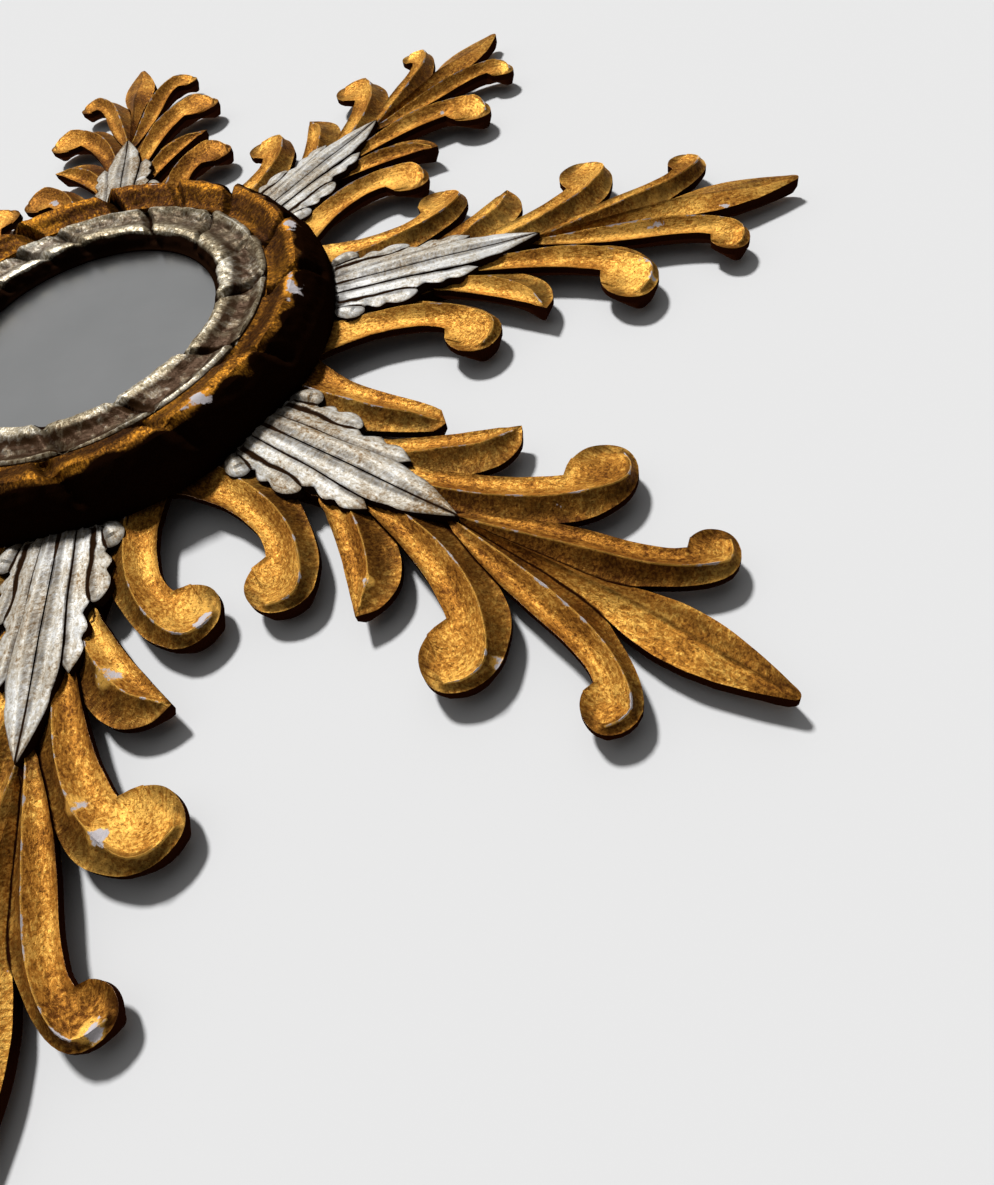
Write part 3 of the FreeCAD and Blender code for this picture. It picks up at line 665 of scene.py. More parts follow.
def make_piece(name: str, shells: list[Shell], finishes: list[Finish], node: str) -> None:
    """Joins shells into one piece that rides on the mirror's body and stands for a CAD node.

    Args:
        name: Name of the piece.
        shells: Its surfaces.
        finishes: Finish of the surface, and of the bare rows where there are any.
        node: CAD node that it replaces.
    """
    merge, sliver, sharp = 2e-6, 1e-7, math.radians(24)
    points = np.concatenate([shell.points.reshape(-1, 3) for shell in shells])
    firsts = np.cumsum([0] + [shell.crest.size for shell in shells])
    quads = np.concatenate([shell.faces(int(first)) for shell, first in zip(shells, firsts)])
    mesh = bpy.data.meshes.new(name)
    mesh.vertices.add(len(points))
    mesh.vertices.foreach_set("co", points.ravel())
    mesh.loops.add(quads.size)
    mesh.loops.foreach_set("vertex_index", quads.ravel().astype(np.int32))
    mesh.polygons.add(len(quads))
    mesh.polygons.foreach_set("loop_start", np.arange(0, quads.size, 4, dtype=np.int32))
    mesh.polygons.foreach_set("material_index", np.concatenate([shell.slots() for shell in shells]))
    marks = {mark: [getattr(shell, mark) for shell in shells] for mark in ("crest", "shade", "wall")}
    marks["tint"] = [np.full(shell.crest.shape, shell.tint) for shell in shells]
    for mark, grids in marks.items():
        values = np.concatenate([grid.ravel() for grid in grids]).astype(np.float32)
        mesh.attributes.new(mark, "FLOAT", "POINT").data.foreach_set("value", values)
    carve = np.concatenate([shell.carve.reshape(-1, 3) for shell in shells]).astype(np.float32)
    mesh.attributes.new("carve", "FLOAT_VECTOR", "POINT").data.foreach_set("vector", carve.ravel())
    for finish in finishes:
        mesh.materials.append(finish.material())
    mesh.update(calc_edges=True)
    work = bmesh.new()
    work.from_mesh(mesh)
    bmesh.ops.remove_doubles(work, verts=work.verts, dist=merge)
    bmesh.ops.dissolve_degenerate(work, edges=work.edges, dist=sliver)
    work.to_mesh(mesh)
    work.free()
    mesh.validate()
    mesh.shade_smooth()
    mesh.set_sharp_from_angle(angle=sharp)
    piece = bpy.data.objects.new(name, mesh)
    bpy.context.scene.collection.objects.link(piece)
    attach(piece, BODY)
    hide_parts(node)
    log.info("%s: %d faces for %s", name, len(mesh.polygons), node)


class Rulings(NamedTuple):
    """Straight lines over a lobe, each from its outline to the nearest point of its crest, in order round it.

    Along is 0 at the crest's root and 1 at its end. Side is 0 on the inner edge and 1 on the outer edge.
    """

    edge: np.ndarray
    ridge: np.ndarray
    along: np.ndarray
    side: np.ndarray


@dataclass(frozen=True)
class Lobe:
    """A carved lobe in plan: its outline, and the crest that parts its inner hollow from its outer facet.

    The outline runs from the root along the inner edge, round the end and back along the outer edge. The
    crest's heights are at its root, half way and near its end, the rim's on the inner and the outer edge.
    Facet, crest line shade and shade all over say how far painted shade darkens the outer facet, a line along
    the crest and the whole lobe.
    """

    outline: Plan
    crest: Plan
    corners: tuple[int, ...] = ()
    crest_mm: tuple[float, float, float] = (10.4, 13.6, 13.0)
    edges_mm: tuple[float, float] = (10.0, 8.0)
    bevel: float = 0.7
    edge_mm: float = 3.2
    foot_mm: float = 0.0
    dip_mm: float = 1.7
    facet: float = 1.0
    worn: float = 1.0
    crest_line_shade: float = 0.0
    vein_mm: float = 0.0
    shade_all_over: float = 0.0
    seed: int = 0
    pocket: Plan = ()
    pocket_mm: float = 5.4
    crest_stops: tuple[float, ...] = (0.0, 0.5, 0.86, 1.0)
    end_rise_mm: float = 0.8
    least_rise_mm: float = 0.4
    chamfer_mm: float = 0.25
    vein_pitch_mm: float = 4.4
    uneven_mm: float = 0.13
    uneven_edge: float = 0.0099
    outline_samples: int = 480
    columns: int = 44
    fan: int = 22

    @cached_property
    def lines(self) -> Rulings:
        """Rulings on both sides of the crest, with a fan round each end, from a slightly uneven outline."""
        rim = curve(self.outline, self.outline_samples, True, self.corners)
        ridge = curve(self.crest, self.columns)
        nearest = np.linalg.norm(rim[:, None] - ridge[None], axis=2).argmin(axis=1)
        head = np.flatnonzero(nearest == self.columns - 1)
        steps = np.arange(self.columns)
        sides = []
        for points in (np.arange(head[0] + 1), np.arange(head[-1], len(rim))[::-1]):
            # A tiny slope keeps the order strictly rising, which the interpolation needs.
            climb = np.maximum.accumulate(nearest[points]) + np.arange(len(points)) * 1e-6
            sides.append(np.interp(steps, climb, points))
        inner, outer = sides
        round_end = np.linspace(inner[-1], outer[-1], self.fan + 2)[1:-1]
        round_root = np.linspace(outer[0], len(rim) + inner[0], self.fan + 2)[1:-1]
        at = np.concatenate([inner, round_end, outer[::-1], round_root])
        last = np.full(self.fan, self.columns - 1)
        along = np.concatenate([steps, last, steps[::-1], np.zeros(self.fan, int)])
        blend = np.linspace(0, 1, self.fan + 2)[1:-1]
        side = np.concatenate([np.zeros(self.columns), blend, np.ones(self.columns), blend[::-1]])
        loop = np.vstack([rim, rim[:1]])
        count = np.arange(len(loop))
        edge = np.stack([np.interp(at % len(rim), count, axis) for axis in loop.T], axis=1)
        uneven = self.uneven_edge * ripple(edge * TIP_RADIUS, 0.012, self.seed)[:, None]
        edge = edge + uneven * (edge - ridge[along])
        return Rulings(edge, ridge[along], along / (self.columns - 1), side)

    @cached_property
    def top_plan(self) -> np.ndarray:
        """Plan of the carved top, in rows from the rim to the crest."""
        return self.lines.edge + (self.lines.ridge - self.lines.edge) * CLIMB[..., None]

    @cached_property
    def below_mm(self) -> np.ndarray:
        """Distance of each point of the top from the crest, in plan."""
        return (1 - CLIMB) * np.linalg.norm(self.lines.edge - self.lines.ridge, axis=1) * TIP_RADIUS / MM

    @cached_property
    def across_mm(self) -> np.ndarray:
        """The same distance, counted as negative on the inner side."""
        return self.below_mm * (2 * self.lines.side - 1)

    @cached_property
    def veins(self) -> np.ndarray:
        """Veins across the top: a sine wave that wanders, made stronger and weaker by a slower one."""
        wander = 2.6 * ripple(self.top_plan * TIP_RADIUS, 0.022, self.seed + 3)
        strength = 0.6 + 0.4 * np.sin(0.7 * self.across_mm + wander)
        return np.sin(2 * math.pi * self.across_mm / self.vein_pitch_mm + wander) * strength

    @cached_property
    def ridge_mm(self) -> np.ndarray:
        """Height of the crest on each ruling. It sinks towards the rim at its end."""
        end = min(self.crest_mm[2], sum(self.edges_mm) / 2 + self.end_rise_mm)
        return np.interp(self.lines.along, self.crest_stops, (*self.crest_mm, end))

    @cached_property
    def rim_mm(self) -> np.ndarray:
        """Height of the rim on each ruling, always a little below the crest."""
        rim = self.edges_mm[0] + (self.edges_mm[1] - self.edges_mm[0]) * self.lines.side
        return np.minimum(rim, self.ridge_mm - self.least_rise_mm)

    @cached_property
    def top_mm(self) -> np.ndarray:
        """Height of the top.

        A point lies at part b of the way from the rim to the crest. Its height rises from the rim's to the
        crest's as b^2 on the inner side and as b^1.25 on the outer side, less a dip of sin(pi b). Veins and
        ripple are added.
        """
        along, side = self.lines.along, self.lines.side
        dip = np.minimum(self.dip_mm, 0.17 * self.below_mm[0]) * (1 - 0.4 * side) * ease(0, 0.2, along)
        rise = (self.ridge_mm - self.rim_mm) * CLIMB ** (2 - 0.75 * side)
        top = self.rim_mm + rise - dip * np.sin(math.pi * CLIMB)
        top = top + self.vein_mm * self.veins * ease(0.0, 0.3, CLIMB)
        places = np.concatenate([self.top_plan * TIP_RADIUS, top[..., None] * MM], axis=2)
        return top + self.uneven_mm * ripple(places, 0.008, self.seed + 7) * ease(0.02, 0.2, CLIMB)

    @cached_property
    def underside(self) -> tuple[np.ndarray, np.ndarray]:
        """Plan and height of the rows below the top: a flat back, with a pocket where asked, bevel and edge.

        The rows run from the middle of the back to the rim. The last three bound the bevel and the edge.
        """
        edge, ridge = self.lines.edge, self.lines.ridge
        foot = np.full_like(self.rim_mm, self.foot_mm)
        root = edge + (ridge - edge) * self.bevel
        plans = [ridge, root, edge, edge]
        upright = np.maximum(self.rim_mm - self.edge_mm, foot)
        heights = [foot, foot, upright, self.rim_mm - self.chamfer_mm]
        if self.pocket:
            middle, mouth = np.clip(ridge, *self.pocket), np.clip(root, *self.pocket)
            floor = foot + self.pocket_mm
            plans = [middle, mouth, mouth, *plans[1:]]
            heights = [floor, floor, foot, *heights[1:]]
        return np.stack(plans), np.stack(heights)

    @cached_property
    def free(self) -> Any:
        """How far each ruling stands clear of the neighbouring lobes, from 0 to 1."""
        return 1.0 if self.shade_all_over else ease(0.4, 0.65, self.lines.along)

    @cached_property
    def wear(self) -> np.ndarray:
        """How far the top is rubbed: on the crest, less down to 6 mm from it, and on the clear inner rim."""
        crest = (1 - np.clip((self.below_mm - 0.2) / 6, 0, 1)) * self.worn
        rim = 0.97 * (1 - ease(0, 0.07, CLIMB)) * self.free * (1 - 0.85 * self.lines.side)
        return np.maximum(crest, rim)

    @cached_property
    def tone(self) -> np.ndarray:
        """How dark the top is painted, as a sum: painted shade for the most part, with some patina.

        Painted shade lies in the hollow and the veins, where patina gathers too, and on the outer facet, with
        a painted shadow in a line below the crest. A painted dark line runs along the crest where asked.
        Painted crevice shade lies at the rims of veined lobes, where lobes crowd and at the root. The ends
        are a little darker.
        """
        along, facet = self.lines.along, self.facet * self.lines.side
        veined = self.vein_mm > 0
        # Painted shade in the hollow and the veins, where patina also gathers.
        tone = np.sin(math.pi * CLIMB) * (0.35 + 0.2 * self.lines.side) - self.vein_mm * self.veins
        # Painted shade on the outer facet, darker towards the end.
        tone = tone + facet * (1.2 - 0.6 * CLIMB + 0.45 * ease(0.5, 0.85, along))
        # A painted shadow just below the crest on the outer facet, and a painted dark line on the crest.
        tone = tone + 0.7 * facet * bell(self.below_mm - 1.3, 0.6) + self.crest_line_shade * bell(self.below_mm, 0.7)
        # Painted crevice shade at the rims of veined lobes and where lobes crowd.
        tone = tone + 0.9 * veined * (1 - ease(0.0, 0.22, CLIMB))
        tone = tone + 0.95 * (1 - self.free) * (1 - ease(0.02, 0.2, CLIMB))
        tone = tone + 0.3 * (not veined) * ease(0.7, 0.95, along) * (1 - 0.5 * CLIMB)
        # Painted crevice shade at the root.
        tone = tone + 0.8 * (1 - ease(0, 0.16, along))
        return np.clip(np.maximum(tone, self.shade_all_over), 0, 1)

    @cached_property
    def strokes(self) -> np.ndarray:
        """Coordinates for the gouge's strokes on the top: along the inner hollow, across the outer facet."""
        length = walked(self.lines.ridge[: self.columns])[-1] * TIP_RADIUS
        along, across = np.broadcast_arrays(self.lines.along * length, self.across_mm * MM)
        outer = self.lines.side > 0.5
        short_way, long_way = np.where(outer, along, across), np.where(outer, across, along)
        return np.stack([short_way, long_way, self.top_mm * MM], axis=-1)

    def shell(self, ray: "Ray", mirrored: bool) -> Shell:
        """Joins underside and top.

        Args:
            ray: Ray that carries the lobe.
            mirrored: Whether to make the lobe of the left side.

        Returns:
            The closed surface with its marks.
        """
        low_plan, low_mm = self.underside
        under = ((len(low_mm), 0), (0, 0))
        plan, height = np.concatenate([low_plan, self.top_plan]), np.concatenate([low_mm, self.top_mm]) * MM
        crest = np.pad(self.wear, under)
        # Underside rows: bare clay with full painted shade, dark as the shade under the lobes.
        shade = np.pad(self.tone, under, constant_values=1.0)
        wall = np.pad(np.zeros_like(self.top_mm), under, constant_values=1.0)
        flat = np.concatenate([low_plan[..., ::-1] * TIP_RADIUS, low_mm[..., None] * MM], axis=-1)
        carve = np.concatenate([flat, self.strokes]) + self.seed + 3 * ray.number
        points, bare_rows = ray.place(plan, height, mirrored), len(low_mm) - 3
        shell = Shell(points, crest, shade, wall, carve, bare_rows, tint=ray.tint)
        return shell.reversed() if mirrored else shell


def both_sides(half: Plan) -> Plan:
    """Half of an outline, then its points off the middle line again, mirrored and in the opposite order."""
    return half + tuple((out, -side) for out, side in reversed(half) if side)


LOW_SCROLL = Lobe(
    (
        (0.300, 0.132), (0.330, 0.125), (0.365, 0.118), (0.400, 0.115), (0.450, 0.122), (0.474, 0.133),
        (0.487, 0.143), (0.481, 0.160), (0.494, 0.186), (0.523, 0.194), (0.547, 0.179), (0.556, 0.152),
        (0.546, 0.128), (0.530, 0.108), (0.500, 0.086), (0.460, 0.063), (0.420, 0.048), (0.360, 0.043),
        (0.300, 0.042),
    ),
    (
        (0.310, 0.072), (0.380, 0.076), (0.440, 0.085), (0.490, 0.103), (0.526, 0.128), (0.546, 0.153),
        (0.542, 0.173), (0.528, 0.186),
    ),
    (6,),
    seed=11,
)
BROKEN_SCROLL = Lobe(
    (
        *LOW_SCROLL.outline[:4],
        (0.450, 0.119), (0.490, 0.124), (0.520, 0.126), (0.537, 0.112), (0.530, 0.096), (0.500, 0.080),
        (0.460, 0.062),
        *LOW_SCROLL.outline[-3:],
    ),
    ((0.310, 0.078), (0.380, 0.080), (0.440, 0.086), (0.490, 0.098), (0.524, 0.110)),
    (6, 7, 8),
    seed=12,
)
LEAFLET = Lobe(
    (
        (0.470, 0.020), (0.480, 0.050), (0.500, 0.062), (0.550, 0.095), (0.585, 0.122), (0.617, 0.148),
        (0.629, 0.128), (0.631, 0.105), (0.624, 0.084), (0.600, 0.058), (0.560, 0.033), (0.510, 0.014),
    ),
    ((0.484, 0.030), (0.520, 0.044), (0.565, 0.072), (0.598, 0.103), (0.613, 0.136)),
    (5,),
    crest_mm=(10.4, 12.8, 11.4),
    edges_mm=(9.6, 7.6),
    seed=13,
)
MID_SCROLL = Lobe(
    (
        (0.505, 0.004), (0.520, 0.028), (0.560, 0.042), (0.600, 0.055), (0.650, 0.075), (0.684, 0.094),
        (0.701, 0.106), (0.693, 0.124), (0.702, 0.154), (0.731, 0.170), (0.757, 0.156), (0.769, 0.124),
        (0.761, 0.090), (0.743, 0.063), (0.700, 0.035), (0.650, 0.012), (0.600, -0.003), (0.540, -0.004),
    ),
    (
        (0.525, 0.010), (0.600, 0.026), (0.650, 0.040), (0.702, 0.065), (0.738, 0.095), (0.759, 0.125),
        (0.753, 0.148), (0.738, 0.161),
    ),
    (6,),
    seed=14,
)
TOP_SCROLL = Lobe(
    (
        (0.620, 0.002), (0.650, 0.018), (0.700, 0.038), (0.750, 0.053), (0.800, 0.064), (0.836, 0.076),
        (0.851, 0.086), (0.847, 0.100), (0.857, 0.117), (0.877, 0.123), (0.894, 0.110), (0.899, 0.088),
        (0.890, 0.069), (0.870, 0.050), (0.845, 0.034), (0.820, 0.020), (0.770, 0.004), (0.700, -0.004),
        (0.640, -0.004),
    ),
    (
        (0.640, 0.004), (0.720, 0.019), (0.780, 0.032), (0.830, 0.046), (0.868, 0.066), (0.890, 0.088),
        (0.888, 0.104), (0.880, 0.115),
    ),
    (6,),
    crest_mm=(10.8, 13.0, 12.2),
    edges_mm=(9.4, 7.4),
    seed=15,
)
TIP_BLADE = Lobe(
    both_sides((
        (0.640, 0.004), (0.700, 0.009), (0.760, 0.012), (0.800, 0.016), (0.850, 0.028), (0.885, 0.032),
        (0.920, 0.029), (0.955, 0.020), (0.986, 0.009), (1.000, 0.000),
    )),
    ((0.650, 0.000), (0.760, 0.000), (0.860, -0.002), (0.930, -0.001), (0.985, 0.000)),
    crest_mm=(11.6, 12.4, 7.6),
    edges_mm=(7.8, 7.0),
    dip_mm=-0.5,
    facet=0.2,
    worn=0.9,
    # A painted dark line along the crest, standing in for the shade of a carved channel.
    crest_line_shade=1.5,
    bevel=0.3,
    edge_mm=4.5,
    seed=16,
)
ROOT_BLOCK = Lobe(
    both_sides((
        (0.263, 0.000), (0.263, 0.085), (0.335, 0.085), (0.345, 0.056), (0.420, 0.054), (0.500, 0.040),
        (0.560, 0.030), (0.620, 0.026), (0.655, 0.012), (0.668, 0.000),
    )),
    ((0.290, 0.000), (0.400, 0.000), (0.520, 0.000), (0.640, 0.000)),
    (1, 2, 3, 15, 16, 17),
    crest_mm=(9.0, 9.0, 8.0),
    edges_mm=(7.6, 7.6),
    foot_mm=0.2,
    dip_mm=0.0,
    # Painted shade all over: the block lies low between the lobes.
    shade_all_over=0.95,
    bevel=0.0,
    seed=17,
)
HANGER_POCKET = ((0.348, -0.0345), (0.478, 0.0345))

# What the lobes of a silvered leaf share: nearly upright sides and a faint painted shade on the outer facet.
SILVERED: dict[str, Any] = {"bevel": 0.1, "foot_mm": 8.0, "facet": 0.2, "worn": 0.9}
HALF_BLADE = Lobe(
    (
        (0.336, 0.001), (0.336, 0.019), (0.400, 0.023), (0.450, 0.024), (0.500, 0.028), (0.540, 0.029),
        (0.566, 0.024), (0.580, 0.023), (0.612, 0.012), (0.640, 0.000), (0.600, 0.000), (0.540, 0.001),
        (0.470, 0.001), (0.400, 0.001),
    ),
    ((0.346, 0.011), (0.440, 0.015), (0.520, 0.014), (0.580, 0.009), (0.622, 0.004)),
    (1, 6, 9),
    crest_mm=(14.6, 14.4, 13.3),
    edges_mm=(13.9, 13.9),
    dip_mm=-0.4,
    vein_mm=0.06,
    seed=21,
    **SILVERED,
)
HIGH_LOBE = Lobe(
    (
        (0.336, 0.017), (0.336, 0.044), (0.390, 0.048), (0.430, 0.044), (0.458, 0.049), (0.470, 0.043),
        (0.492, 0.052), (0.503, 0.046), (0.520, 0.051), (0.546, 0.039), (0.530, 0.029), (0.490, 0.024),
        (0.440, 0.021), (0.395, 0.019),
    ),
    ((0.348, 0.029), (0.420, 0.031), (0.480, 0.034), (0.528, 0.037)),
    (0, 1, 5, 7, 9),
    crest_mm=(13.9, 13.6, 12.9),
    edges_mm=(12.6, 13.2),
    dip_mm=-0.35,
    vein_mm=0.06,
    seed=22,
    **SILVERED,
)
MID_LOBE = Lobe(
    (
        (0.336, 0.036), (0.337, 0.052), (0.374, 0.061), (0.388, 0.057), (0.403, 0.067), (0.415, 0.062),
        (0.432, 0.069), (0.450, 0.065), (0.459, 0.054), (0.446, 0.045), (0.415, 0.041), (0.380, 0.038),
    ),
    ((0.348, 0.045), (0.410, 0.052), (0.446, 0.057)),
    (0, 1, 3, 5),
    crest_mm=(13.2, 13.2, 12.8),
    edges_mm=(11.8, 12.4),
    dip_mm=-0.35,
    vein_mm=0.06,
    seed=23,
    **SILVERED,
)
LOW_LOBE = Lobe(
    (
        (0.341, 0.050), (0.342, 0.064), (0.359, 0.077), (0.374, 0.078), (0.384, 0.069), (0.381, 0.057),
        (0.366, 0.051),
    ),
    ((0.350, 0.057), (0.363, 0.063), (0.370, 0.066)),
    (0, 1),
    crest_mm=(13.8, 14.2, 14.0),
    edges_mm=(12.4, 12.0),
    dip_mm=-0.9,
    vein_mm=0.02,
    seed=24,
    **SILVERED,
)
GOLD_SIDE = (LEAFLET, MID_SCROLL, TOP_SCROLL)
SILVER_SIDE = (LOW_LOBE, MID_LOBE, HIGH_LOBE, HALF_BLADE)
GOLD_LOBES = 10


@dataclass(frozen=True)
class Ray:
    """One carved ray with its silvered leaf. By hand it leans a little and is a little longer or shorter.

    Slip moves the side lobes along the ray, and a bare patch has its place in the plan and its spread in
    millimetres. The painted light shift makes a ray's whole leaf lighter or darker, as painted light and
    shade.
    """

    number: int
    lean: float = 0.0
    reach: float = 1.0
    bend: float = 0.0
    tint: float = 0.0
    broken: bool = False
    hanger: bool = False
    slip: float = 0.0
    bare_at: tuple[tuple[float, float, float], ...] = ()
    turn_step: float = 45.0
    bend_from: float = 0.75

    def place(self, plan: np.ndarray, height: np.ndarray, mirrored: bool) -> np.ndarray:
        """Brings a plan into the row's frame.

        The part of the reach beyond the frame's edge is stretched, lower lobes slip along the ray, the end is
        bent to the side, then the ray is turned clockwise about the mirror's axis by its step and lean.

        Args:
            plan: Reach and side of each point, in tip radii.
            height: Height of each point above the ray's back, in metres.
            mirrored: Whether to swap left and right.

        Returns:
            The points.
        """
        stretch = (self.reach - FRAME_EDGE) / (1 - FRAME_EDGE)
        out = plan[..., 0] + (stretch - 1) * np.maximum(plan[..., 0] - FRAME_EDGE, 0)
        out = out + self.slip * (1 - ease(0.45, 0.85, plan[..., 0]))
        bent = self.bend * np.maximum(plan[..., 0] - self.bend_from, 0) / (1 - self.bend_from)
        side = plan[..., 1] * (-1 if mirrored else 1) + bent
        out, side = out * TIP_RADIUS, side * TIP_RADIUS
        turn = math.radians((self.number - 1) * self.turn_step + self.lean)
        x = side * math.cos(turn) + out * math.sin(turn)
        z = out * math.cos(turn) - side * math.sin(turn)
        return np.stack([x, RAY_BACK - height, z], axis=-1)

    def lobes(self) -> list[Shell]:
        """Shapes the ten lobes of the gilded ray, then the eight of the silvered leaf on it.

        Returns:
            The lobes' surfaces.
        """
        block = replace(ROOT_BLOCK, pocket=HANGER_POCKET) if self.hanger else ROOT_BLOCK
        firm = replace(self, slip=0.0)
        shells = [lobe.shell(firm, False) for lobe in (block, TIP_BLADE)]
        for mirrored in (False, True):
            low = BROKEN_SCROLL if self.broken and mirrored else LOW_SCROLL
            shells += [lobe.shell(self, mirrored) for lobe in (low, *GOLD_SIDE)]
        for mirrored in (False, True):
            shells += [lobe.shell(firm, mirrored) for lobe in SILVER_SIDE]
        return shells

    @staticmethod
    @cache
    def creases() -> list[np.ndarray]:
        """Marks where the lobes of a straight ray meet, for painted crevice shade.

        Returns:
            For each lobe's top, 1 where it meets another and 0 from 1 mm away.
        """
        shells = Ray(1).lobes()
        skins = [shell.skin().reshape(-1, 3) for shell in shells]
        marks = []
        for number, shell in enumerate(shells):
            others = np.concatenate(skins[:number] + skins[number + 1 :])
            gap_mm = gap_between(shell.points[-TOP_ROWS:].reshape(-1, 3), others) / MM
            marks.append(1 - ease(0.3, 1.0, gap_mm).reshape(TOP_ROWS, -1))
        return marks

    def carve(self) -> None:
        """Makes the gilded ray and the silvered leaf on it, with painted shade in the creases and bare
        patches.
        """
        shells = self.lobes()
        # Painted crevice shade: where lobes meet, the top gets the dark clay of the cut sides.
        for shell, crease in zip(shells, self.creases()):
            shell.wall[-TOP_ROWS:] = np.maximum(shell.wall[-TOP_ROWS:], crease)
        gold, silver = shells[:GOLD_LOBES], shells[GOLD_LOBES:]
        for out, side, spread_mm in self.bare_at:
            spot = self.place(np.array((out, side)), np.zeros(()), False)
            for shell in gold:
                away_mm = np.linalg.norm((shell.points - spot)[-TOP_ROWS:, :, (0, 2)], axis=-1) / MM
                bare = GESSO_PEAK * bell(away_mm, spread_mm)
                shell.crest[-TOP_ROWS:] = np.maximum(shell.crest[-TOP_ROWS:], bare)
        node, leaf = f"ray_{self.number}", f"sepal_{self.number}"
        make_piece(f"carved_{node}", gold, [Finish.GOLD, Finish.RAW_BACK], node)
        make_piece(f"silvered_{leaf}", silver, [Finish.SILVER, Finish.SILVER], leaf)


RAYS = (
    # The light shift of each ray is painted light and shade on its leaf.
    Ray(1, -1.81, 0.989, tint=-0.018, hanger=True),
    Ray(2, -0.12, 0.982, tint=0.02),
    Ray(3, 0.35, 1.0, tint=0.035, bare_at=((0.896, -0.090, 13.0), (0.752, 0.112, 10.0), (0.757, 0.148, 9.0))),
    Ray(
        4, 0.8, 1.033, bend=0.010, tint=0.001, broken=True,
        bare_at=((0.768, 0.116, 11.0), (0.912, 0.110, 10.0), (0.604, 0.110, 9.0), (0.902, -0.070, 11.0)),
    ),
    Ray(
        5, 0.5, 0.997, tint=0.016, slip=-0.02,
        bare_at=((0.572, -0.080, 19.0), (0.700, -0.066, 13.0), (0.732, -0.092, 13.0), (0.886, -0.104, 13.0)),
    ),
    Ray(6, 0.7, 0.992),
    Ray(7, -0.9, 0.996),
    Ray(8, 0.6, 1.012),
)


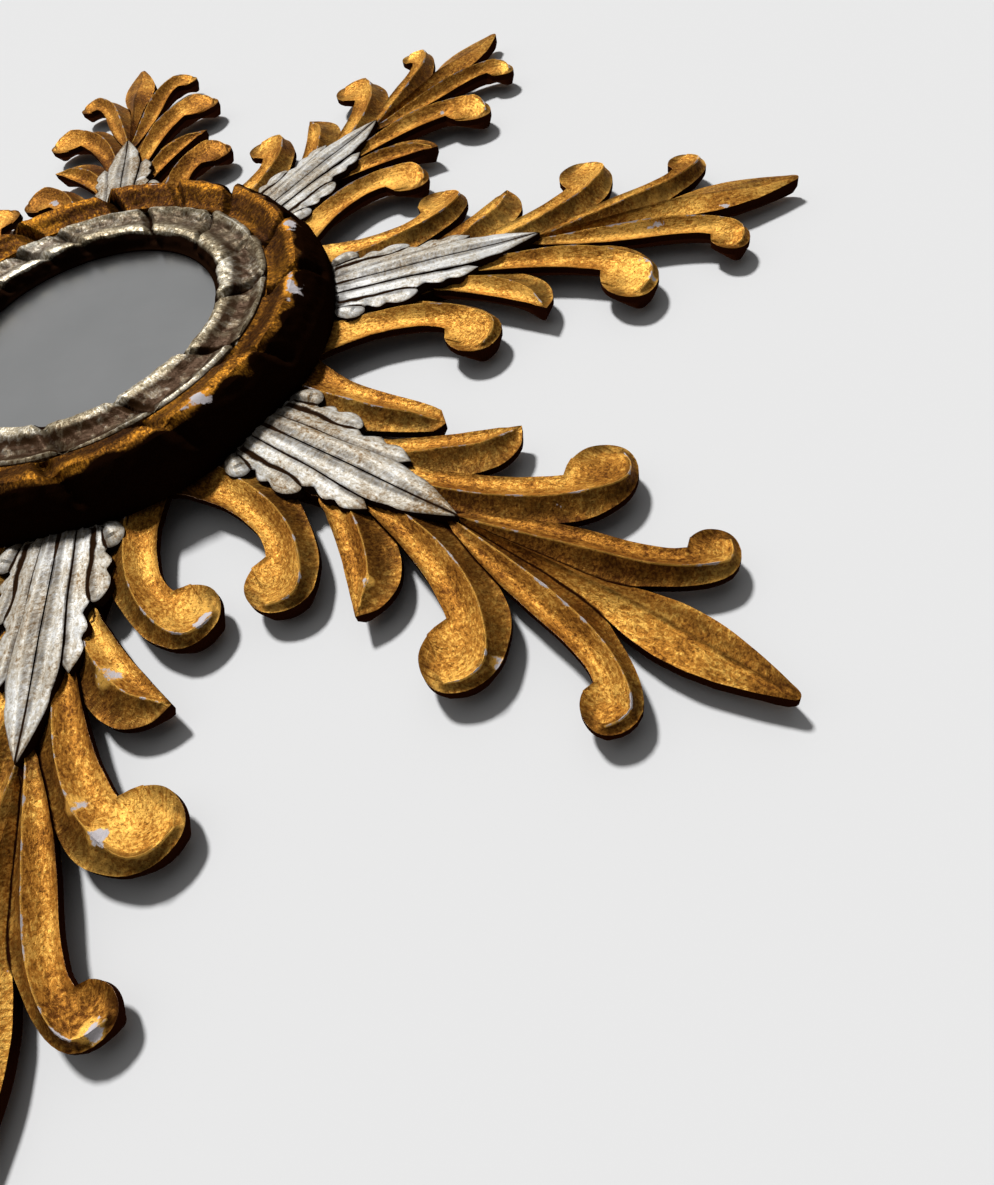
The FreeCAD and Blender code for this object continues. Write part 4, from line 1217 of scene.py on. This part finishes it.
@dataclass(frozen=True)
class RolledRing:
    """A turned ring with a roll that is notched all round as if bound with ribbon.

    Notches and bare patches are placed by their angle in degrees, clockwise from the top. The dark side is 1
    where painted shade and patina lie outside the crest and -1 where they lie inside; the painted shade is
    less towards the top of the ring. The leaf ends between two radii, in a frayed line, and the dark bare
    clay past it also paints the shade on the steep wall.
    """

    name: str
    node: str
    slot: str
    finish: Finish
    back: float
    profile_mm: Plan
    roll_mm: tuple[float, float]
    crest_mm: float
    top_mm: float
    notch_mm: float
    slant: float
    dark_side: int
    bare_and_shaded_from_mm: tuple[float, float]
    notch_at: tuple[float, ...]
    fold_mm: float
    second_crest_mm: float
    less_shade_on_top: float
    fray_mm: float
    seed: int
    bare_at: tuple[tuple[float, float], ...] = ()
    notch_step: float = 24.0
    crest_width_mm: float = 1.7
    rows: int = 110
    columns: int = 720

    @cached_property
    def line(self) -> np.ndarray:
        """Points of the profile, radius and height, in millimetres."""
        return curve(self.profile_mm, self.rows, True, tuple(range(len(self.profile_mm))))

    @cached_property
    def angle(self) -> np.ndarray:
        """Angle of each column, clockwise from the top."""
        return np.linspace(0, 2 * math.pi, self.columns, endpoint=False)

    def notches(self) -> tuple[np.ndarray, np.ndarray]:
        """Works out the notches from each point's distance to the nearest one, in notch steps.

        Returns:
            Depth of the V-shaped cut, from 0 to about 1, and the height in millimetres by which the roll
            folds up on one side of a notch and down on the other and steps from one segment to the next.
        """
        random = np.random.default_rng(self.seed)
        count = len(self.notch_at)
        deep = random.uniform(0.6, 1.2, count)
        step_up = random.uniform(-0.7, 0.7, count)
        inner, outer = self.roll_mm
        across = np.clip((self.line[:, :1] - inner) / (outer - inner), 0, 1)
        turn = np.degrees(self.angle) + self.notch_step * self.slant * (across - 0.5)
        away = angle_from(np.array(self.notch_at), turn[..., None])
        nearest = np.abs(away).argmin(axis=-1)
        gap = np.take_along_axis(away, nearest[..., None], axis=-1)[..., 0] / self.notch_step
        cut = np.maximum(1 - np.abs(gap) / 0.11, 0) * deep[nearest]
        fold = np.sign(gap) * np.exp(-np.abs(gap) / 0.16) * (1 - bell(gap, 0.05))
        return cut, self.fold_mm * fold + step_up[np.where(gap > 0, nearest, nearest - 1) % count]

    def build(self) -> None:
        """Turns the profile about the axis, moves it along its normal by notches and ripple, and marks it."""
        line, angle = self.line, self.angle
        reach, rise = line[:, :1], line[:, 1:]
        step = np.roll(line, -1, axis=0) - np.roll(line, 1, axis=0)
        normal = np.stack([step[:, 1], -step[:, 0]], axis=1)
        normal /= np.linalg.norm(normal, axis=1, keepdims=True)
        inner, level = self.roll_mm[0], rise / rise.max()
        on_roll = ease(inner - 0.5, inner + 2.5, reach) * ease(0.35, 0.62, level)
        cut, fold_mm = self.notches()
        across, up = reach * np.sin(angle), reach * np.cos(angle)
        shape = np.stack(np.broadcast_arrays(across, up, rise), axis=-1) * MM
        rough = 0.35 * ripple(shape, 0.011, self.seed + 1) + 0.2 * ripple(shape, 0.005, self.seed + 2)
        move = on_roll * (fold_mm - self.notch_mm * cut + rough)
        height = np.minimum(rise + normal[:, 1:] * move, self.top_mm)
        points = turned((reach + normal[:, :1] * move) * MM, height * MM, angle, self.back)
        beyond = reach - self.crest_mm
        second = bell(reach - self.second_crest_mm, self.crest_width_mm) * (rise > 5)
        # Painted shade with some patina on the dark side of the crest, thinned towards the top of the ring.
        shade = ease(0.6, 5.0, beyond * self.dark_side) * on_roll * (1 - second)
        shade = shade * (1 - self.less_shade_on_top * (1 + np.cos(angle)))
        frayed = reach + self.fray_mm * ripple(shape, 0.016, self.seed + 5)
        # Bare clay on the low sides and past the frayed line, also painting the shade on the steep walls;
        # notches painted dark as the shade in them.
        wall = np.maximum(1 - ease(0.3, 0.6, level), ease(*self.bare_and_shaded_from_mm, frayed))
        wall = np.maximum(wall, 0.9 * on_roll * cut)
        patchy = 0.93 + 0.11 * ripple(shape, 0.03, self.seed + 4)
        crest = np.maximum(bell(beyond, self.crest_width_mm) * on_roll, second)
        crest = np.minimum(crest * patchy, 1.0)
        for at, spread_mm in self.bare_at:
            along = np.radians(angle_from(at, np.degrees(angle))) * self.crest_mm
            bare = bell(np.hypot(along / 2, beyond - 1.5), spread_mm) * (rise > 8)
            crest = np.maximum(crest, GESSO_PEAK * bare)
        flow = (angle * self.crest_mm * MM, walked(line)[:, None] * MM, np.zeros_like(cut))
        carve = np.stack(np.broadcast_arrays(*flow), axis=-1)
        bare_rows = int(np.count_nonzero(rise < 0.01)) - 1
        carve[: bare_rows + 1] = points[: bare_rows + 1, :, (0, 2, 1)]
        shell = Shell(points, crest, shade, wall, carve, bare_rows, closed_rows=True)
        make_piece(self.name, [shell.reversed()], [self.finish, Finish.RAW_BACK], self.node)


GOLD_RING = RolledRing(
    name="gilded_roll",
    node="ring_frame",
    slot="gold_leaf",
    finish=Finish.BRONZED,
    back=RING_BACK,
    profile_mm=(
        (74.0, 0.0), (121.6, 0.0), (122.0, 5.0), (120.6, 11.0), (117.4, 17.0), (113.6, 21.6), (109.4, 23.7),
        (105.6, 23.0), (101.0, 20.4), (97.0, 18.4), (93.6, 18.2), (93.5, 10.0), (74.0, 10.0),
    ),
    roll_mm=(93.6, 122.0),
    crest_mm=108.6,
    top_mm=24.0,
    notch_mm=6.0,
    slant=0.4,
    dark_side=-1,
    bare_and_shaded_from_mm=(109.5, 113.5),
    notch_at=(2, 24, 44, 72, 96, 126, 153, 178, 203, 229, 255, 281, 307, 334),
    fold_mm=2.2,
    second_crest_mm=108.6,
    less_shade_on_top=0.0,
    fray_mm=2.8,
    seed=31,
    bare_at=((103, 15.0), (77, 11.0), (143, 13.0), (228, 13.0), (318, 12.0)),
)
SILVER_RING = RolledRing(
    name="silvered_roll",
    node="sight_ring",
    slot="silver_leaf",
    finish=Finish.SLIP,
    back=RING_BACK - 0.010,
    profile_mm=(
        (74.0, 0.0), (93.4, 0.0), (93.4, 8.4), (91.6, 9.4), (89.6, 8.2), (86.0, 6.8), (81.0, 7.2),
        (77.0, 9.0), (73.6, 9.8), (71.0, 9.0), (68.6, 6.4), (66.4, 3.2), (65.2, 2.0), (65.2, 1.5),
    ),
    roll_mm=(65.5, 91.0),
    crest_mm=73.6,
    top_mm=12.3,
    notch_mm=2.8,
    slant=0.5,
    dark_side=1,
    bare_and_shaded_from_mm=(73.0, 69.0),
    notch_at=(22, 50, 74, 97, 128, 157, 183, 209, 235, 260, 286, 312, 335, 350),
    fold_mm=1.0,
    second_crest_mm=91.4,
    less_shade_on_top=0.15,
    fray_mm=0.6,
    seed=41,
)


@dataclass(frozen=True)
class DomedGlass:
    """The convex glass: a shallow cap of a sphere with an even thickness."""

    radius: float = 0.072
    thickness: float = 0.003
    curve_radius: float = 0.328
    back: float = RING_BACK - 0.0068
    rows: int = 28
    columns: int = 256

    def build(self) -> None:
        """Turns the section about the axis: height is the sphere's, sqrt(R^2 - r^2) less that at the rim."""
        reach = np.linspace(0, self.radius, self.rows)
        rise = np.sqrt(self.curve_radius**2 - reach**2) - math.sqrt(self.curve_radius**2 - self.radius**2)
        radius = np.concatenate([reach, reach[::-1]])[:, None]
        height = np.concatenate([rise, rise[::-1] + self.thickness])[:, None]
        angle = np.linspace(0, -2 * math.pi, self.columns, endpoint=False)
        shell = Shell.plain(turned(radius, height, angle, self.back))
        make_piece("domed_glass", [shell], [Finish.GLASS], "mirror_glass")


@dataclass(frozen=True)
class FeltPads:
    """Felt discs behind the rays, soft at their edges and slightly crowned towards the wall."""

    reach: float = 0.212
    radius: float = 0.008
    thickness: float = 0.002
    edge: float = 0.0009
    crown: float = 0.0001
    count: int = 8
    columns: int = 40

    def disc(self, turn: float) -> Shell:
        """Turns a section with a round edge about its own axis and moves it out along a ray.

        Args:
            turn: Angle of the ray, clockwise from the top.

        Returns:
            The disc.
        """
        part = np.linspace(0, math.pi / 2, 8)
        rim = self.radius - self.edge + self.edge * np.cos(part)
        bulge = self.thickness - self.edge - self.crown + self.edge * np.sin(part)
        radius = np.concatenate([[0.0, self.radius], rim, [0.0]])[:, None]
        height = np.concatenate([[0.0, 0.0], bulge, [self.thickness]])[:, None]
        angle = np.linspace(0, 2 * math.pi, self.columns, endpoint=False)
        centre = self.reach * math.sin(turn), 0.0, self.reach * math.cos(turn)
        return Shell.plain(turned(radius, -height, angle, RAY_BACK) + centre)

    def build(self) -> None:
        """Makes all the discs as one piece."""
        turns = np.arange(self.count) * 2 * math.pi / self.count
        make_piece("felt_discs", [self.disc(turn) for turn in turns], [Finish.FELT], "wall_pads")


@dataclass(frozen=True)
class BackFittings:
    """CAD nodes that keep their shape and get their real finish."""

    dressed: tuple[tuple[Finish, tuple[str, ...]], ...] = (
        (Finish.BOARD, ("backing_board",)),
        (Finish.PEG, ("ray_pegs",)),
        (Finish.FELT, ("packing_ring",)),
        (Finish.STEEL, ("ray_screws",)),
        (Finish.BRASS, tuple(f"turn_button_{number}" for number in range(1, 5))),
        (Finish.BRASS, ("button_screws", "hanger_strap", "hanger_loop", "hanger_screw")),
    )

    def dress(self) -> None:
        """Gives each node its material."""
        for finish, nodes in self.dressed:
            for node in nodes:
                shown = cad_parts[node]
                shown.data.materials.clear()
                shown.data.materials.append(finish.material())
                log.info("%s: finished in %s", node, finish.value.name)


@dataclass(frozen=True)
class Studio:
    """Pale wall, one key light from above, weak light behind, a dim room, and the photograph's camera."""

    camera_at: tuple[float, float, float] = (0.1801, -0.2200, -0.3618)
    forward: tuple[float, float, float] = (-0.0453, 0.8123, 0.5815)
    up: tuple[float, float, float] = (0.2388, -0.5564, 0.7958)
    lens_mm: float = 24.63
    sensor_mm: float = 36.0
    key_way: tuple[float, float, float] = (0.008, 0.030, -0.021)
    key_strength: float = 3.2
    key_angle: float = 8.0
    behind_at: tuple[float, float, float] = (-0.6, 1.4, 0.8)
    behind_watts: float = 45.0
    behind_size: float = 1.5
    wall_size: float = 6.0
    wall_gap: float = 0.0005
    card_way: tuple[float, float, float] = (-0.39, -0.48, 0.79)
    room_strength: float = 0.05
    card_strength: float = 0.29

    def wall(self) -> None:
        """Sets a flat wall half a millimetre behind the felt pads, facing the viewer."""
        half, y = self.wall_size / 2, CAD_BOX[1][1] + self.wall_gap
        corners = [(-half, y, -half), (half, y, -half), (half, y, half), (-half, y, half)]
        mesh = bpy.data.meshes.new("studio_wall")
        mesh.from_pydata(corners, [], [(0, 1, 2, 3)])
        mesh.materials.append(Finish.WALL.material())
        wall = bpy.data.objects.new("studio_wall", mesh)
        bpy.context.scene.collection.objects.link(wall)

    def lamp(self, name: str, kind: str, way: Vector, **settings: Any) -> bpy.types.Object:
        """Adds a light.

        Args:
            name: Name of the light.
            kind: Blender's kind of light.
            way: Direction in which it shines.
            **settings: Properties of the light.

        Returns:
            The light's object.
        """
        light = bpy.data.lights.new(name, kind)
        for key, value in settings.items():
            setattr(light, key, value)
        lamp = bpy.data.objects.new(name, light)
        lamp.rotation_euler = way.to_track_quat("-Z", "Y").to_euler()
        bpy.context.scene.collection.objects.link(lamp)
        return lamp

    def lights(self) -> None:
        """Lights the mirror.

        The key light has a soft edge, and is kept off the glass as by a flag on a stand. The light behind
        passes the wall, as if it had been taken away, and lights the mirror's back.
        """
        settings = {"energy": self.key_strength, "angle": math.radians(self.key_angle)}
        key = self.lamp("key", "SUN", Vector(self.key_way), **settings)
        settings = {"energy": self.behind_watts, "size": self.behind_size}
        behind = self.lamp("behind", "AREA", -Vector(self.behind_at), **settings)
        behind.location = self.behind_at
        behind.data.cycles.max_bounces = 0
        for lamp, role, left_out in ((key, "receiver", "domed_glass"), (behind, "blocker", "studio_wall")):
            group = bpy.data.collections.new(f"{lamp.name}_{role}")
            group.objects.link(bpy.data.objects[left_out])
            setattr(lamp.light_linking, f"{role}_collection", group)
            group.collection_objects[0].light_linking.link_state = "EXCLUDE"

    def room(self) -> None:
        """Makes a dim room with one bright card: light by how far a direction points at the card."""
        world = bpy.data.worlds.new("room")
        world.use_nodes = True
        tree = world.node_tree
        tree.nodes.clear()
        way = add(tree, "TexCoord", out="Generated")
        card = tuple(Vector(self.card_way).normalized())
        toward = add(tree, "VectorMath", {0: way, 1: card}, out="Value", operation="DOT_PRODUCT")
        span = {"From Min": 0.25, "From Max": 0.5, "To Min": self.room_strength, "To Max": self.card_strength}
        glow = add(tree, "MapRange", {"Value": toward, **span}, interpolation_type="SMOOTHSTEP")
        light = add(tree, "Background", {"Color": (1.0, 1.0, 1.0, 1.0), "Strength": glow})
        add(tree, "OutputWorld", {"Surface": light})
        bpy.context.scene.world = world

    def camera(self) -> None:
        """Sets the photograph's camera: below and to the right of the mirror, close to it."""
        lens = bpy.data.cameras.new("photograph")
        lens.lens = self.lens_mm
        lens.sensor_width = self.sensor_mm
        lens.clip_start = 0.01
        forward, up = Vector(self.forward).normalized(), Vector(self.up)
        right = forward.cross(up).normalized()
        up = right.cross(forward)
        camera = bpy.data.objects.new("photograph", lens)
        turn = Matrix((right, up, -forward)).transposed().to_4x4()
        camera.matrix_world = Matrix.Translation(self.camera_at) @ turn
        bpy.context.scene.collection.objects.link(camera)
        bpy.context.scene.camera = camera

    def build(self) -> None:
        """Sets up wall, lights, room and camera, and a plain transfer of light to the picture."""
        self.wall()
        self.lights()
        self.room()
        self.camera()
        bpy.context.scene.view_settings.view_transform = "Standard"


def main() -> None:
    """Builds the pieces in order and sets up the studio."""
    for ray in RAYS:
        ray.carve()
    GOLD_RING.build()
    SILVER_RING.build()
    DomedGlass().build()
    FeltPads().build()
    BackFittings().dress()
    Studio().build()


if __name__ == "__main__":
    main()
